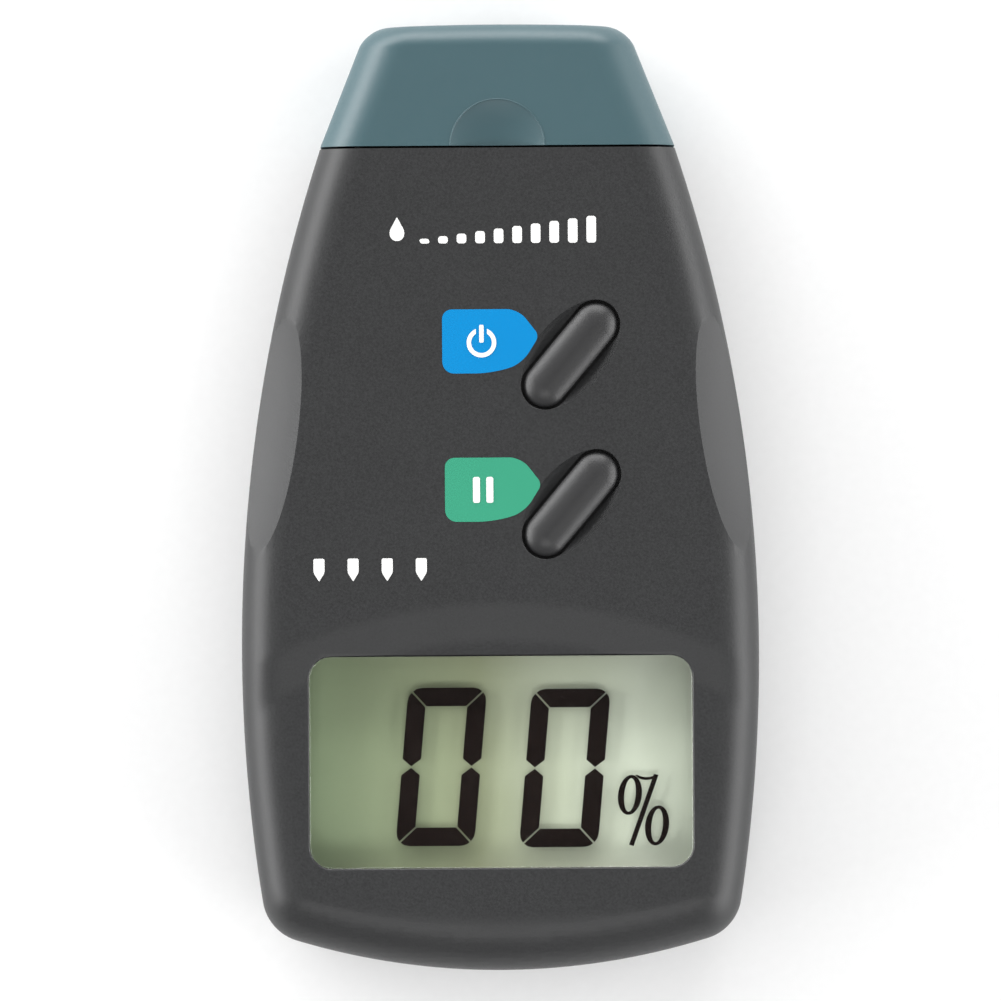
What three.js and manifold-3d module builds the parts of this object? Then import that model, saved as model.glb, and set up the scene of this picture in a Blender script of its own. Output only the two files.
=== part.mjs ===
// Hand-held four-pin moisture meter for timber and flooring, lying on its back.
// Units are millimetres. +Z comes out of the display face, +Y runs towards the pins, and the origin is on the
// surface that the meter lies on, under the middle of its length and width.
import * as THREE from "three";
import { mergeVertices } from "three/addons/utils/BufferGeometryUtils.js";
import Module from "manifold-3d";

const wasm = await Module();
wasm.setup();

// ------------------------------------------------------------------ driving dimensions
const HALF_WIDTH = 35; // half of the widest station of the body
const WIDEST_Y = -21;
const SIDE_RADIUS = 217; // plan radius of each long side
const HEEL_Y = -64; // lowest point of the body's curved lower end
const HEEL_RADIUS = 95;
const CORNER_RADIUS = 6.5;
const BODY_TOP_Y = 47.2; // flat end that the cap meets
const FACE_Z = 29; // upper part of the display face
const EDGE = 6; // rounding of the long edges, front and back
const WALL = 2;
const SEAM_Z = 13.5; // underside of the front shell
const SEAM_GAP = 0.3;
const GAP = 0.3; // between neighbouring pieces

const DISH_Z = 28; // lowered part of the face around the display
const DISH_TOP_Y = -13.6; // crown of the arc where the face starts to fall
const DISH_ARC = 70.5;
const DISH_RAMP = 7.4; // length of the fall
const HEEL_FALL_Y = -56.3; // where the face starts to fall towards the lower end
const HEEL_FALL_ARC = 132;
const DISPLAY_Y = -35.7;
const WINDOW = { width: 51.8, height: 28.6, radius: 3, low: 25.3, step: 25.9, high: 27.6 };
const WINDOW_FLANGE = [27.5, 15.8]; // half sizes
// The display's stack, from the front: polariser, two glasses and the reflector behind them.
const POLARISER = { half: [26.5, 15], z: [25.04, 25.16] };
const FRONT_GLASS = { half: [28, 17], z: [24.1, 25] };
const REAR_GLASS = { half: [28, 14.7], z: [23.12, 24.04] };
const REFLECTOR = { half: [27, 14.6], z: [22.9, 23.06] };
const LCD_FRAME = { inner: [28.2, 17.2], wall: 1.2, corner: 2 };
const ZEBRA = { half: [25, 0.9], y: 15.8 };

const BUTTON_X = 9.7;
const POWER_Y = 19.2;
const HOLD_Y = -0.95;
const BUTTON_TILT = THREE.MathUtils.degToRad(50);
const BUTTON = { reach: 5.35, radius: 2.8, top: FACE_Z + 0.9 }; // reach: middle to the centre of an end
const BUTTON_CLEARANCE = 0.5; // between a button and its hole
const BUTTON_FLANGE = { out: 1.1, thick: 0.6 };
// Half of an ellipsoid whose middle is at a height of lift over the face.
const DIMPLE = { long: 8.8, wide: 4.9, depth: 1.9, lift: 1.2 };
const FINGER_SCOOP = { y: 9.2, half: 27, normal: 7, across: 16, bite: 1.8 };

const BOARD_Z = 21; // back of the board
const BOARD_THICK = 1.4;
const BOARD_FRONT = BOARD_Z + BOARD_THICK;
const BOARD_INSET = 3.6;
const BOARD_TOP_Y = 30.6;
const SOLDER = 0.05; // between the board and what sits on it
const SWITCH = { half: 3, high: 3, plungerTop: 3.6 };

const MID_Z = FACE_Z / 2;
const CAP_HALF_WIDTH = 23.95; // at its open end
const CAP_LENGTH = 16.5;
const CAP_TAPER = 0.384; // loss of half width per millimetre of length
const CAP_SLOPE = 0.15; // loss of half thickness per millimetre of length
const CAP_ROUND = 3;
const CAP_WALL = 1.8;
const THUMB_SCOOP = { sphere: 17, circle: 6.3 }; // the circle is what the sphere cuts out of the cap's front
const PIN = { x: 10, z: 5, radius: 0.95, tip: 14.4 };
const HEAD_FRONT = 5.8; // how far the pin block stands out of the body
const HEAD_OPENING = { half: 20.1, high: 10.1 }; // hole for the pin block in the body's upper end
const HEAD_FLANGE = { half: [21.2, 11.7], z: [-6, -2.3] };
const HEAD_RIB = { half: 19, y: [39.4, 40.8], high: 4.8 }; // in both shells, behind the pin block's flange
const CASE_SCREWS = [[16, 35.5], [-16, 35.5], [28.3, -12], [-28.3, -12]];
const BOARD_SCREWS = [[22, 26.4], [-22, 26.4], [14, -57.2], [-14, -57.2]];
const CASE_BOSS = { front: 3.4, rear: 4.2, pilot: 1.45, clear: 1.5, sink: 2.9, seat: 2.6, pilotTop: 21.5 };
const BOARD_BOSS = { radius: 2.4, pilot: 1.1, pilotTop: 25.6 };

const DOOR = { half: 27, tongue: 1, top: -18.8, low: 0.2, step: 1.2, high: 2.2 };
const DOOR_GRIP = { count: 6, first: -25.5, pitch: 1.9, half: [8, 0.5], depth: 0.5 };
const BATTERY = { length: 46.4, width: 26.5, thick: 17.5, x: -24.5, y: -48.9, z: 2.6 };
const BAY = { play: 0.6, clipRoom: 6.4, wall: 1.2, high: 17.4 };
const LABEL = { half: 19.7, y: [-10.7, 23.7], z: [0.12, 0.28] };
const FAR = 40; // more than the object's half width, for tools that cut right across

// ------------------------------------------------------------------ solids
const solidOf = (geometry) => {
  const bare = geometry.index ? geometry.toNonIndexed() : geometry.clone();
  bare.deleteAttribute("normal");
  bare.deleteAttribute("uv");
  const merged = mergeVertices(bare, 1e-4);
  return new wasm.Manifold(
    new wasm.Mesh({
      numProp: 3,
      vertProperties: merged.attributes.position.array,
      triVerts: new Uint32Array(merged.index.array),
    }),
  );
};

const geometryOf = (solid) => {
  const { vertProperties, triVerts } = solid.getMesh();
  return new THREE.BufferGeometry()
    .setAttribute("position", new THREE.BufferAttribute(vertProperties, 3))
    .setIndex(new THREE.BufferAttribute(triVerts, 1));
};

const join = (...solids) => solids.reduce((whole, next) => whole.add(next));
const cut = (solid, ...tools) => tools.reduce((rest, tool) => rest.subtract(tool), solid);

// A box between two values on each axis.
const block = (x, y, z) =>
  solidOf(
    new THREE.BoxGeometry(x[1] - x[0], y[1] - y[0], z[1] - z[0]).translate(
      (x[0] + x[1]) / 2,
      (y[0] + y[1]) / 2,
      (z[0] + z[1]) / 2,
    ),
  );

// An upright cylinder, or a prism with few sides.
const post = (x, y, radius, z, sides = 20) =>
  solidOf(
    new THREE.CylinderGeometry(radius, radius, z[1] - z[0], sides)
      .rotateX(Math.PI / 2)
      .translate(x, y, (z[0] + z[1]) / 2),
  );

// A solid of revolution about Z from [radius, height] pairs that start and end on the axis.
const turned = (profile, sides = 20) =>
  solidOf(
    new THREE.LatheGeometry(profile.map(([r, h]) => new THREE.Vector2(r, h)), sides).rotateX(Math.PI / 2),
  );

// A skin through convex rings of equal count, closed by a flat face at each end.
const loft = (rings) => {
  const n = rings[0].points.length;
  const positions = rings.flatMap(({ points, z }) => points.flatMap((p) => [p.x, p.y, z]));
  const index = [];
  for (let r = 0; r + 1 < rings.length; r++)
    for (let i = 0; i < n; i++) {
      const a = r * n + i;
      const b = r * n + ((i + 1) % n);
      index.push(a, b, b + n, a, b + n, a + n);
    }
  const last = (rings.length - 1) * n;
  for (let left = 0, right = n - 1; right - left > 1; ) {
    const [a, b, c] = [left, left + 1, right];
    index.push(a, c, b, last + a, last + b, last + c);
    left++;
    if (right - left > 1) {
      index.push(left, right, right - 1, last + left, last + right - 1, last + right);
      right--;
    }
  }
  return solidOf(
    new THREE.BufferGeometry()
      .setAttribute("position", new THREE.Float32BufferAttribute(positions, 3))
      .setIndex(index),
  );
};

const prism = (points, z) => loft([{ points, z: z[0] }, { points, z: z[1] }]);

// ------------------------------------------------------------------ outlines, anticlockwise from +Z
const arc = (centre, radius, from, to, steps, first = 0) =>
  Array.from({ length: steps + 1 - first }, (_, i) => {
    const angle = from + ((to - from) * (i + first)) / steps;
    return new THREE.Vector2(centre.x + radius * Math.cos(angle), centre.y + radius * Math.sin(angle));
  });

const roundedRectangle = (halfX, halfY, radius, steps = 5) =>
  [[1, 1], [-1, 1], [-1, -1], [1, -1]].flatMap(([sx, sy], i) =>
    arc(
      new THREE.Vector2(sx * (halfX - radius), sy * (halfY - radius)),
      radius,
      (i * Math.PI) / 2,
      ((i + 1) * Math.PI) / 2,
      steps,
    ),
  );

// A slot shape along X.
const stadium = (reach, radius, steps = 8) => [
  ...arc(new THREE.Vector2(reach, 0), radius, -Math.PI / 2, Math.PI / 2, steps),
  ...arc(new THREE.Vector2(-reach, 0), radius, Math.PI / 2, (3 * Math.PI) / 2, steps),
];

// The body's plan: two long arcs, a shallow arc and rounded corners at the lower end, a straight upper end.
const sideCentre = new THREE.Vector2(HALF_WIDTH - SIDE_RADIUS, WIDEST_Y);
const heelCentre = new THREE.Vector2(0, HEEL_Y + HEEL_RADIUS);
const cornerCentre = (() => {
  const a = SIDE_RADIUS - CORNER_RADIUS;
  const b = HEEL_RADIUS - CORNER_RADIUS;
  const span = heelCentre.clone().sub(sideCentre);
  const d = span.length();
  const along = (a * a - b * b + d * d) / (2 * d);
  const across = Math.sqrt(a * a - along * along);
  const unit = span.divideScalar(d);
  const outwards = new THREE.Vector2(unit.y, -unit.x);
  return sideCentre.clone().addScaledVector(unit, along).addScaledVector(outwards, across);
})();
const heelAngle = cornerCentre.clone().sub(heelCentre).angle() - 2 * Math.PI;
const sideAngle = cornerCentre.clone().sub(sideCentre).angle() - 2 * Math.PI;

const bodyOutline = (inset, topY = BODY_TOP_Y) => {
  const side = SIDE_RADIUS - inset;
  const right = [
    ...arc(heelCentre, HEEL_RADIUS - inset, -Math.PI / 2, heelAngle, 7),
    ...arc(cornerCentre, CORNER_RADIUS - inset, heelAngle, sideAngle, 5, 1),
    ...arc(sideCentre, side, sideAngle, Math.asin((topY - WIDEST_Y) / side), 12, 1),
  ];
  const left = right.slice(1).reverse().map((p) => new THREE.Vector2(-p.x, p.y));
  return [...right, ...left];
};

// Rings that round an edge off over a quarter turn, from full size at z0 to the flat at z0 + rise.
const roundedRings = (inset, z0, rise, run, steps = 5) =>
  Array.from({ length: steps + 1 }, (_, i) => {
    const angle = ((i / steps) * Math.PI) / 2;
    return {
      points: bodyOutline(inset + run * (1 - Math.cos(angle))),
      z: z0 + rise * Math.sin(angle),
    };
  });

// ------------------------------------------------------------------ materials
const plastic = (name, color, roughness) =>
  new THREE.MeshStandardMaterial({ name, color, roughness, metalness: 0 });
const metal = (name, color, roughness) =>
  new THREE.MeshStandardMaterial({ name, color, roughness, metalness: 1 });

const CASE_ABS = () => plastic("textured ABS", 0x434345, 0.55);
const KEY_ABS = () => plastic("moulded ABS keys", 0x4b4b4d, 0.5);
const CAP_PP = () => plastic("blue-grey cap", 0x567a83, 0.35);
const HEAD_ABS = () => plastic("black ABS", 0x1c1c1e, 0.5);
const WINDOW_ACRYLIC = () => plastic("clear acrylic", 0xe8efe6, 0.08);
const LCD_GLASS = () => plastic("display glass", 0xb4c2a4, 0.15);
const REFLECTOR_FILM = () => plastic("reflective film", 0xb9c7a8, 0.4);
const BOARD_RESIN = () => plastic("green circuit board", 0x1f5a38, 0.45);
const CHIP_EPOXY = () => plastic("black epoxy", 0x161616, 0.4);
const FOAM = () => plastic("foam", 0x2a2a2a, 0.95);
const SILICONE = () => plastic("striped silicone", 0xb05a6c, 0.7);
const STEEL = () => metal("plated steel", 0xc9ccd0, 0.28);
const BRASS = () => metal("brass", 0xc9a24b, 0.3);
const SCREW_STEEL = () => metal("black zinc steel", 0x45474a, 0.4);
const BATTERY_CAN = () => metal("battery jacket", 0x2f4f7a, 0.4);
const LEAD_RED = () => plastic("red wire insulation", 0xb3251f, 0.5);
const LEAD_BLACK = () => plastic("black wire insulation", 0x171717, 0.5);
const LEAD_WHITE = () => plastic("white wire insulation", 0xd9d9d4, 0.5);
const LABEL_FILM = () => plastic("label film", 0xbfc3c7, 0.4);

const meter = new THREE.Group();

const add = (group, name, solid, material, position = [0, 0, 0]) => {
  const mesh = new THREE.Mesh(geometryOf(solid), material);
  mesh.name = name;
  mesh.position.set(...position);
  group.add(mesh);
  return mesh;
};

const assembly = (position = [0, 0, 0]) => {
  const group = new THREE.Group();
  group.position.set(...position);
  meter.add(group);
  return group;
};

const at = (solid, x, y, z = 0) => solid.translate([x, y, z]);
const tilted = (solid) => solid.rotate([0, 0, THREE.MathUtils.radToDeg(BUTTON_TILT)]);

// ------------------------------------------------------------------ front shell
const casing = assembly();

// Conical fall above the display, flat round it, and a second fall towards the lower end.
const displayDish = () => {
  const high = FACE_Z + 3;
  const above = (high - FACE_Z) * 3;
  const upper = turned(
    [[0, DISH_Z], [DISH_ARC - DISH_RAMP, DISH_Z], [DISH_ARC, FACE_Z], [DISH_ARC + above, high], [0, high]],
    72,
  );
  const reach = HEEL_FALL_ARC + 14;
  const low = DISH_Z - 3;
  const heel = cut(
    turned([[0, low + 0.6], [reach, low + 0.6], [reach, high], [0, high]], 96),
    turned([[0, low], [reach + 2, low], [HEEL_FALL_ARC, DISH_Z], [0, high + 1]], 96),
  );
  const heelZone = block([-FAR, FAR], [HEEL_Y - 6, HEEL_FALL_Y + 11], [low, high]);
  return join(
    at(upper, 0, DISH_TOP_Y - DISH_ARC),
    at(heel, 0, HEEL_FALL_Y + HEEL_FALL_ARC).intersect(heelZone),
  );
};

// Shallow oval dish that each button stands in.
const dimple = (y) => {
  const { long, wide, depth, lift } = DIMPLE;
  const share = Math.sqrt(1 - (lift / (lift + depth)) ** 2);
  const ball = new THREE.SphereGeometry(1, 28, 14)
    .scale(long / share, wide / share, lift + depth)
    .rotateZ(BUTTON_TILT)
    .translate(BUTTON_X, y, FACE_Z + lift);
  return solidOf(ball);
};

// Long finger scoop across a rounded edge of the body.
const fingerScoop = (side) => {
  const { y, half, normal, across, bite } = FINGER_SCOOP;
  const outer = sideCentre.x + Math.sqrt(SIDE_RADIUS ** 2 - (y - WIDEST_Y) ** 2);
  const lean = Math.asin((y - WIDEST_Y) / SIDE_RADIUS);
  const out = (normal - bite) * Math.SQRT1_2;
  const onEdge = EDGE * (1 - Math.SQRT1_2);
  const ball = new THREE.SphereGeometry(1, 32, 16)
    .scale(normal, half, across)
    .rotateY(-Math.PI / 4)
    .rotateZ(lean)
    .translate(outer - onEdge + out, y, FACE_Z - onEdge + out);
  return side > 0 ? solidOf(ball) : solidOf(ball).mirror([1, 0, 0]);
};

const frontShell = () => {
  const edgeZ = FACE_Z - EDGE;
  const outside = loft([{ points: bodyOutline(0), z: SEAM_Z }, ...roundedRings(0, edgeZ, EDGE, EDGE)]);
  const hollow = cut(
    loft([
      { points: bodyOutline(WALL, BODY_TOP_Y - WALL), z: SEAM_Z - 1 },
      ...roundedRings(WALL, edgeZ, EDGE - WALL, EDGE - WALL, 3).map(({ z }, i, all) => {
        const inset = WALL + (EDGE - WALL) * (1 - Math.cos(((i / (all.length - 1)) * Math.PI) / 2));
        return { points: bodyOutline(inset, BODY_TOP_Y - WALL), z };
      }),
    ]),
    block([-FAR, FAR], [HEEL_Y - 6, DISH_TOP_Y - 1.6], [DISH_Z - 1.8, FACE_Z + 1]),
  );
  const through = [SEAM_Z + 6, FACE_Z + 3];
  const ceiling = FACE_Z - WALL;
  const boardBossTop = (y) => (y > 0 ? FACE_Z : DISH_Z) - WALL + 0.5;
  const { half: ribHalf, y: ribY, high: ribHigh } = HEAD_RIB;
  const bosses = [
    ...CASE_SCREWS.map(([x, y]) => post(x, y, CASE_BOSS.front, [SEAM_Z, ceiling + 0.5])),
    ...BOARD_SCREWS.map(([x, y]) => post(x, y, BOARD_BOSS.radius, [BOARD_FRONT + 0.1, boardBossTop(y)], 14)),
    block([-ribHalf, ribHalf], ribY, [ceiling - ribHigh, ceiling + 0.5]),
  ];
  const windowHole = prism(roundedRectangle(WINDOW.width / 2, WINDOW.height / 2, WINDOW.radius), through);
  const buttonHole = tilted(prism(stadium(BUTTON.reach, BUTTON.radius + BUTTON_CLEARANCE), through));
  const { half: headHalf, high: headHigh } = HEAD_OPENING;
  const drillings = [
    ...CASE_SCREWS.map(([x, y]) => post(x, y, CASE_BOSS.pilot, [SEAM_Z - 1, CASE_BOSS.pilotTop], 12)),
    ...BOARD_SCREWS.map(([x, y]) => post(x, y, BOARD_BOSS.pilot, [BOARD_FRONT - 1, BOARD_BOSS.pilotTop], 10)),
    at(windowHole, 0, DISPLAY_Y),
    block([-headHalf, headHalf], [BODY_TOP_Y - WALL - 1, BODY_TOP_Y + 1], [SEAM_Z - 1, MID_Z + headHigh]),
    ...[POWER_Y, HOLD_Y].flatMap((y) => [dimple(y), at(buttonHole, BUTTON_X, y)]),
    fingerScoop(1),
    fingerScoop(-1),
  ];
  return cut(join(cut(outside, hollow), ...bosses), displayDish(), ...drillings);
};
add(casing, "front_shell", frontShell(), CASE_ABS());

// ------------------------------------------------------------------ rear shell and battery door
const rearTop = SEAM_Z - SEAM_GAP;
const rearOutside = () =>
  loft([
    ...roundedRings(0, EDGE, -EDGE, EDGE).reverse(),
    { points: bodyOutline(0), z: rearTop },
  ]);

// Cross-section of the door's slide: a narrow outer step and a wider tongue above it.
const doorSlot = (grow, length) => {
  const { half, tongue, top, low, step, high } = DOOR;
  const narrow = half + grow;
  const wide = narrow + tongue;
  const along = [HEEL_Y - length, top + grow];
  return join(
    block([-narrow, narrow], along, [low - 2 * grow, step + grow]),
    block([-wide, wide], along, [step - grow, high + grow]),
  );
};

const rearShell = () => {
  const inner = BODY_TOP_Y - WALL;
  const hollow = loft([
    ...Array.from({ length: 4 }, (_, i) => {
      const angle = ((1 - i / 3) * Math.PI) / 2;
      const run = EDGE - WALL;
      return {
        points: bodyOutline(WALL + run * (1 - Math.cos(angle)), inner),
        z: EDGE - run * Math.sin(angle),
      };
    }),
    { points: bodyOutline(WALL, inner), z: rearTop + 2 },
  ]);
  const lip = cut(
    prism(bodyOutline(WALL + GAP, inner - GAP), [rearTop - 1.5, rearTop + 1.2]),
    prism(bodyOutline(WALL + GAP + 1, inner - GAP - 1), [rearTop - 2, rearTop + 2]),
  );
  const lipRoot = cut(
    prism(bodyOutline(WALL - 0.2, inner), [rearTop - 1.5, rearTop]),
    prism(bodyOutline(WALL + GAP + 1, inner - GAP - 1), [rearTop - 2, rearTop + 2]),
  );
  const floor = WALL - 0.2; // where what stands on the rear wall starts, a little inside it
  const { x, y, length, width } = BATTERY;
  const { play, clipRoom, wall, high } = BAY;
  const bay = { x: [x - play, x + length + clipRoom], y: [y - play, y + width + play] };
  const bayWalls = cut(
    block([bay.x[0] - wall, bay.x[1] + wall], [bay.y[0] - wall, bay.y[1] + wall], [floor, high]),
    block(bay.x, bay.y, [0, high + 1]),
  );
  // Thickening round the door's slide.
  const bed = loft([
    { points: bodyOutline(4), z: floor },
    { points: bodyOutline(2.6), z: 4 },
  ]).intersect(block([-FAR, FAR], [HEEL_Y, DOOR.top + 2.2], [0, 5]));
  const bosses = CASE_SCREWS.map(([bx, by]) => post(bx, by, CASE_BOSS.rear, [floor, rearTop]));
  const rib = block([-HEAD_RIB.half, HEAD_RIB.half], HEAD_RIB.y, [floor, WALL + HEAD_RIB.high]);
  const { half: headHalf, high: headHigh } = HEAD_OPENING;
  const [flangeHalf, flangeHigh] = HEAD_FLANGE.half;
  const flangeRoom = flangeHalf + GAP;
  const labelHalf = LABEL.half + GAP;
  const tools = [
    block(bay.x, bay.y, [DOOR.step - GAP, high + 1]),
    doorSlot(GAP, 4),
    block([-headHalf, headHalf], [inner - 3, BODY_TOP_Y + 1], [MID_Z - headHigh, SEAM_Z + 3]),
    block([-flangeRoom, flangeRoom], [HEAD_RIB.y[1] + 0.1, inner], [MID_Z - flangeHigh - GAP, SEAM_Z + 3]),
    block([-labelHalf, labelHalf], [LABEL.y[0] - GAP, LABEL.y[1] + GAP], [-1, 0.3]),
    ...CASE_SCREWS.flatMap(([bx, by]) => [
      post(bx, by, CASE_BOSS.sink, [-1, CASE_BOSS.seat]),
      post(bx, by, CASE_BOSS.clear, [-1, rearTop + 3], 14),
      post(bx, by, CASE_BOSS.front + GAP, [rearTop, rearTop + 3]),
    ]),
  ];
  return cut(join(cut(rearOutside(), hollow), lip, lipRoot, bayWalls, bed, ...bosses, rib), ...tools);
};
add(casing, "rear_shell", rearShell(), CASE_ABS());

const batteryDoor = () => {
  const plate = doorSlot(0, 1).intersect(rearOutside());
  const { count, first, pitch, half, depth } = DOOR_GRIP;
  const grooves = Array.from({ length: count }, (_, i) => {
    const y = first - pitch * i;
    return block([-half[0], half[0]], [y - half[1], y + half[1]], [-1, DOOR.low + depth]);
  });
  return cut(plate, ...grooves);
};
add(casing, "battery_door", batteryDoor(), CASE_ABS());
add(casing, "rear_label", block([-LABEL.half, LABEL.half], LABEL.y, LABEL.z), LABEL_FILM());

// Case screws go in from the back, through the rear bosses into the front ones.
const crossSlot = (reach, half, z) =>
  join(block([-reach, reach], [-half, half], z), block([-half, half], [-reach, reach], z));
const caseScrew = () => {
  const body = turned([[0, 0.8], [2.1, 0.8], [2.6, 1.3], [2.6, 2.5], [1.2, 2.5], [1.2, 18.6], [0, 20]], 16);
  return cut(body, crossSlot(1.5, 0.35, [0, 1.9]));
};
CASE_SCREWS.forEach(([x, y], i) => {
  add(casing, `case_screw_${i + 1}`, caseScrew(), SCREW_STEEL(), [x, y, 0]);
});

// ------------------------------------------------------------------ display
const display = assembly([0, DISPLAY_Y, 0]);

const windowPlate = join(
  prism(roundedRectangle(WINDOW.width / 2 - GAP, WINDOW.height / 2 - GAP, WINDOW.radius - GAP), [
    WINDOW.low + GAP,
    WINDOW.high,
  ]),
  prism(roundedRectangle(...WINDOW_FLANGE, 2, 3), [WINDOW.low, WINDOW.step]),
);
const layer = ({ half, z }) => block([-half[0], half[0]], [-half[1], half[1]], z);
add(display, "display_window", windowPlate, WINDOW_ACRYLIC());
add(display, "lcd_polariser", layer(POLARISER), LCD_GLASS());
add(display, "lcd_front_glass", layer(FRONT_GLASS), LCD_GLASS());
add(display, "lcd_rear_glass", layer(REAR_GLASS), LCD_GLASS());
add(display, "lcd_reflector", layer(REFLECTOR), REFLECTOR_FILM());
const underGlass = [BOARD_FRONT + SOLDER, REAR_GLASS.z[1]];
for (const [name, side] of [["zebra_strip_upper", 1], ["zebra_strip_lower", -1]]) {
  add(display, name, at(layer({ half: ZEBRA.half, z: underGlass }), 0, side * ZEBRA.y), SILICONE());
}
const lcdFrame = () => {
  const { inner, wall, corner } = LCD_FRAME;
  const outside = roundedRectangle(inner[0] + wall, inner[1] + wall, corner, 3);
  return cut(
    prism(outside, [BOARD_FRONT + SOLDER, FRONT_GLASS.z[1] + 0.1]),
    layer({ half: inner, z: [BOARD_Z, FACE_Z] }),
  );
};
add(display, "lcd_frame", lcdFrame(), HEAD_ABS());

// ------------------------------------------------------------------ circuit board
const boardGroup = assembly([0, 0, BOARD_Z]);

const board = cut(
  prism(bodyOutline(BOARD_INSET, BOARD_TOP_Y), [0, BOARD_THICK]),
  // Round notches, open to the board's edges, for the two case screws beside it.
  ...CASE_SCREWS.slice(2).flatMap(([x, y]) => {
    const notch = CASE_BOSS.rear + 0.5;
    return [
      post(x, y, notch, [-1, 3]),
      block([Math.min(x, 2 * x), Math.max(x, 2 * x)], [y - notch, y + notch], [-1, 3]),
    ];
  }),
  ...BOARD_SCREWS.map(([x, y]) => post(x, y, BOARD_BOSS.pilot + 0.2, [-1, 3], 12)),
);
add(boardGroup, "main_board", board, BOARD_RESIN());
const chip = (width, height, thick) =>
  block([-width / 2, width / 2], [-height / 2, height / 2], [-thick, -SOLDER]);
add(boardGroup, "controller_chip", chip(18, 9, 2.5), CHIP_EPOXY(), [-6, 8.5, 0]);
add(boardGroup, "amplifier_chip", chip(5, 4, 1.7), CHIP_EPOXY(), [6.5, 26, 0]);
const canCapacitor = turned([[0, -7], [2.2, -7], [2.5, -6.7], [2.5, -SOLDER], [0, -SOLDER]], 16);
add(boardGroup, "filter_capacitor", canCapacitor, CHIP_EPOXY(), [-15, -9, 0]);
add(boardGroup, "crystal", prism(stadium(3, 2.2, 5), [-3.5, -SOLDER]), STEEL(), [-14, 19, 0]);

const boardScrew = () => {
  const head = [[0, -1.6], [1.5, -1.6], [2, -1.1], [2, -SOLDER]];
  const body = turned([...head, [0.95, -SOLDER], [0.95, 3.6], [0, 4.4]], 14);
  return cut(body, crossSlot(1.3, 0.25, [-2, -0.9]));
};
BOARD_SCREWS.forEach(([x, y], i) => {
  add(boardGroup, `board_screw_${i + 1}`, boardScrew(), STEEL(), [x, y, 0]);
});

// ------------------------------------------------------------------ buttons, each on a tactile switch
const switchBase = () => {
  const { half, high } = SWITCH;
  return cut(block([-half, half], [-half, half], [SOLDER, high]), post(0, 0, 2, [1.4, high + 1], 16));
};
const switchPlunger = () => post(0, 0, 1.7, [2.1, SWITCH.plungerTop], 16);
const keycap = () => {
  const { reach, radius, top } = BUTTON;
  const low = BOARD_FRONT + SWITCH.plungerTop + 0.1;
  const steps = [[0, 1.3], [0.35, 0.62], [0.9, 0.24], [1.6, 0.05], [2.2, 0]];
  const dome = steps.map(([inset, drop]) => ({ points: stadium(reach, radius - inset), z: top - drop }));
  const stem = [{ points: stadium(reach, radius), z: low + 0.3 }, ...dome];
  const flange = stadium(reach, radius + BUTTON_FLANGE.out);
  return join(prism(flange, [low, low + BUTTON_FLANGE.thick]), loft(stem));
};
for (const [name, y] of [["power", POWER_Y], ["hold", HOLD_Y]]) {
  const group = assembly([BUTTON_X, y, 0]);
  group.rotation.z = BUTTON_TILT;
  add(group, `${name}_button`, keycap(), KEY_ABS());
  add(group, `${name}_switch_plunger`, switchPlunger(), CHIP_EPOXY(), [0, 0, BOARD_FRONT]);
  add(group, `${name}_switch_base`, switchBase(), CHIP_EPOXY(), [0, 0, BOARD_FRONT]);
}

// ------------------------------------------------------------------ pin block and pins
// In this group +Z runs out of the body's upper end, and +Y towards the back.
const head = assembly([0, BODY_TOP_Y, MID_Z]);
head.rotation.x = -Math.PI / 2;
const pinPlaces = [[-PIN.x, -PIN.z], [PIN.x, -PIN.z], [-PIN.x, PIN.z], [PIN.x, PIN.z]];

const pinBlock = cut(
  join(
    prism(roundedRectangle(...HEAD_FLANGE.half, 2, 3), HEAD_FLANGE.z),
    loft([
      { points: roundedRectangle(19.8, 9.8, 1.2, 3), z: -2.5 },
      { points: roundedRectangle(19.8, 9.8, 1.2, 3), z: 0.2 },
      { points: roundedRectangle(18.4, 9.2, 1.2, 3), z: HEAD_FRONT - 0.5 },
      { points: roundedRectangle(17.9, 8.7, 0.9, 3), z: HEAD_FRONT },
    ]),
  ),
  ...pinPlaces.map(([x, y]) => post(x, y, 2.55, [-8, 8], 16)),
);
add(head, "pin_block", pinBlock, HEAD_ABS());

const socket = () => cut(post(0, 0, 2.3, [-7.5, HEAD_FRONT + 0.3], 16), post(0, 0, 1.5, [-5.7, 8], 16));
const pin = () => {
  const shank = [[0, -5.4], [1.25, -5], [1.25, 6.6], [PIN.radius, 6.6], [PIN.radius, 10.6]];
  const nut = post(0, 0, 2.2, [HEAD_FRONT + 0.5, HEAD_FRONT + 1.8], 6);
  return join(turned([...shank, [0.12, PIN.tip], [0, PIN.tip]], 16), nut);
};
pinPlaces.forEach(([x, y], i) => {
  add(head, `pin_socket_${i + 1}`, socket(), BRASS(), [x, y, 0]);
  add(head, `pin_${i + 1}`, pin(), STEEL(), [x, y, 0]);
});

// ------------------------------------------------------------------ pin cap
const CAP_END = GAP + CAP_LENGTH;
const CAP_ROUND_START = CAP_END - CAP_ROUND;
const capRing = (w, inset = 0) => {
  const over = Math.max(0, w - CAP_ROUND_START);
  const shrink = inset + CAP_ROUND - Math.sqrt(Math.max(0, CAP_ROUND ** 2 - over ** 2));
  return {
    points: roundedRectangle(
      CAP_HALF_WIDTH - CAP_TAPER * (w - GAP) - shrink,
      MID_Z - CAP_SLOPE * (w - GAP) - shrink,
      Math.max(1.2, EDGE - 0.06 * w - shrink * 0.8),
      6,
    ),
    z: w,
  };
};
const capSkin = () => {
  const steps = [1, 2, 3, 4, 5];
  const round = steps.map((i) => CAP_ROUND_START + CAP_ROUND * Math.sin(((i / 5) * Math.PI) / 2));
  return loft([GAP, 6, CAP_ROUND_START, ...round].map((w) => capRing(w)));
};
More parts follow.
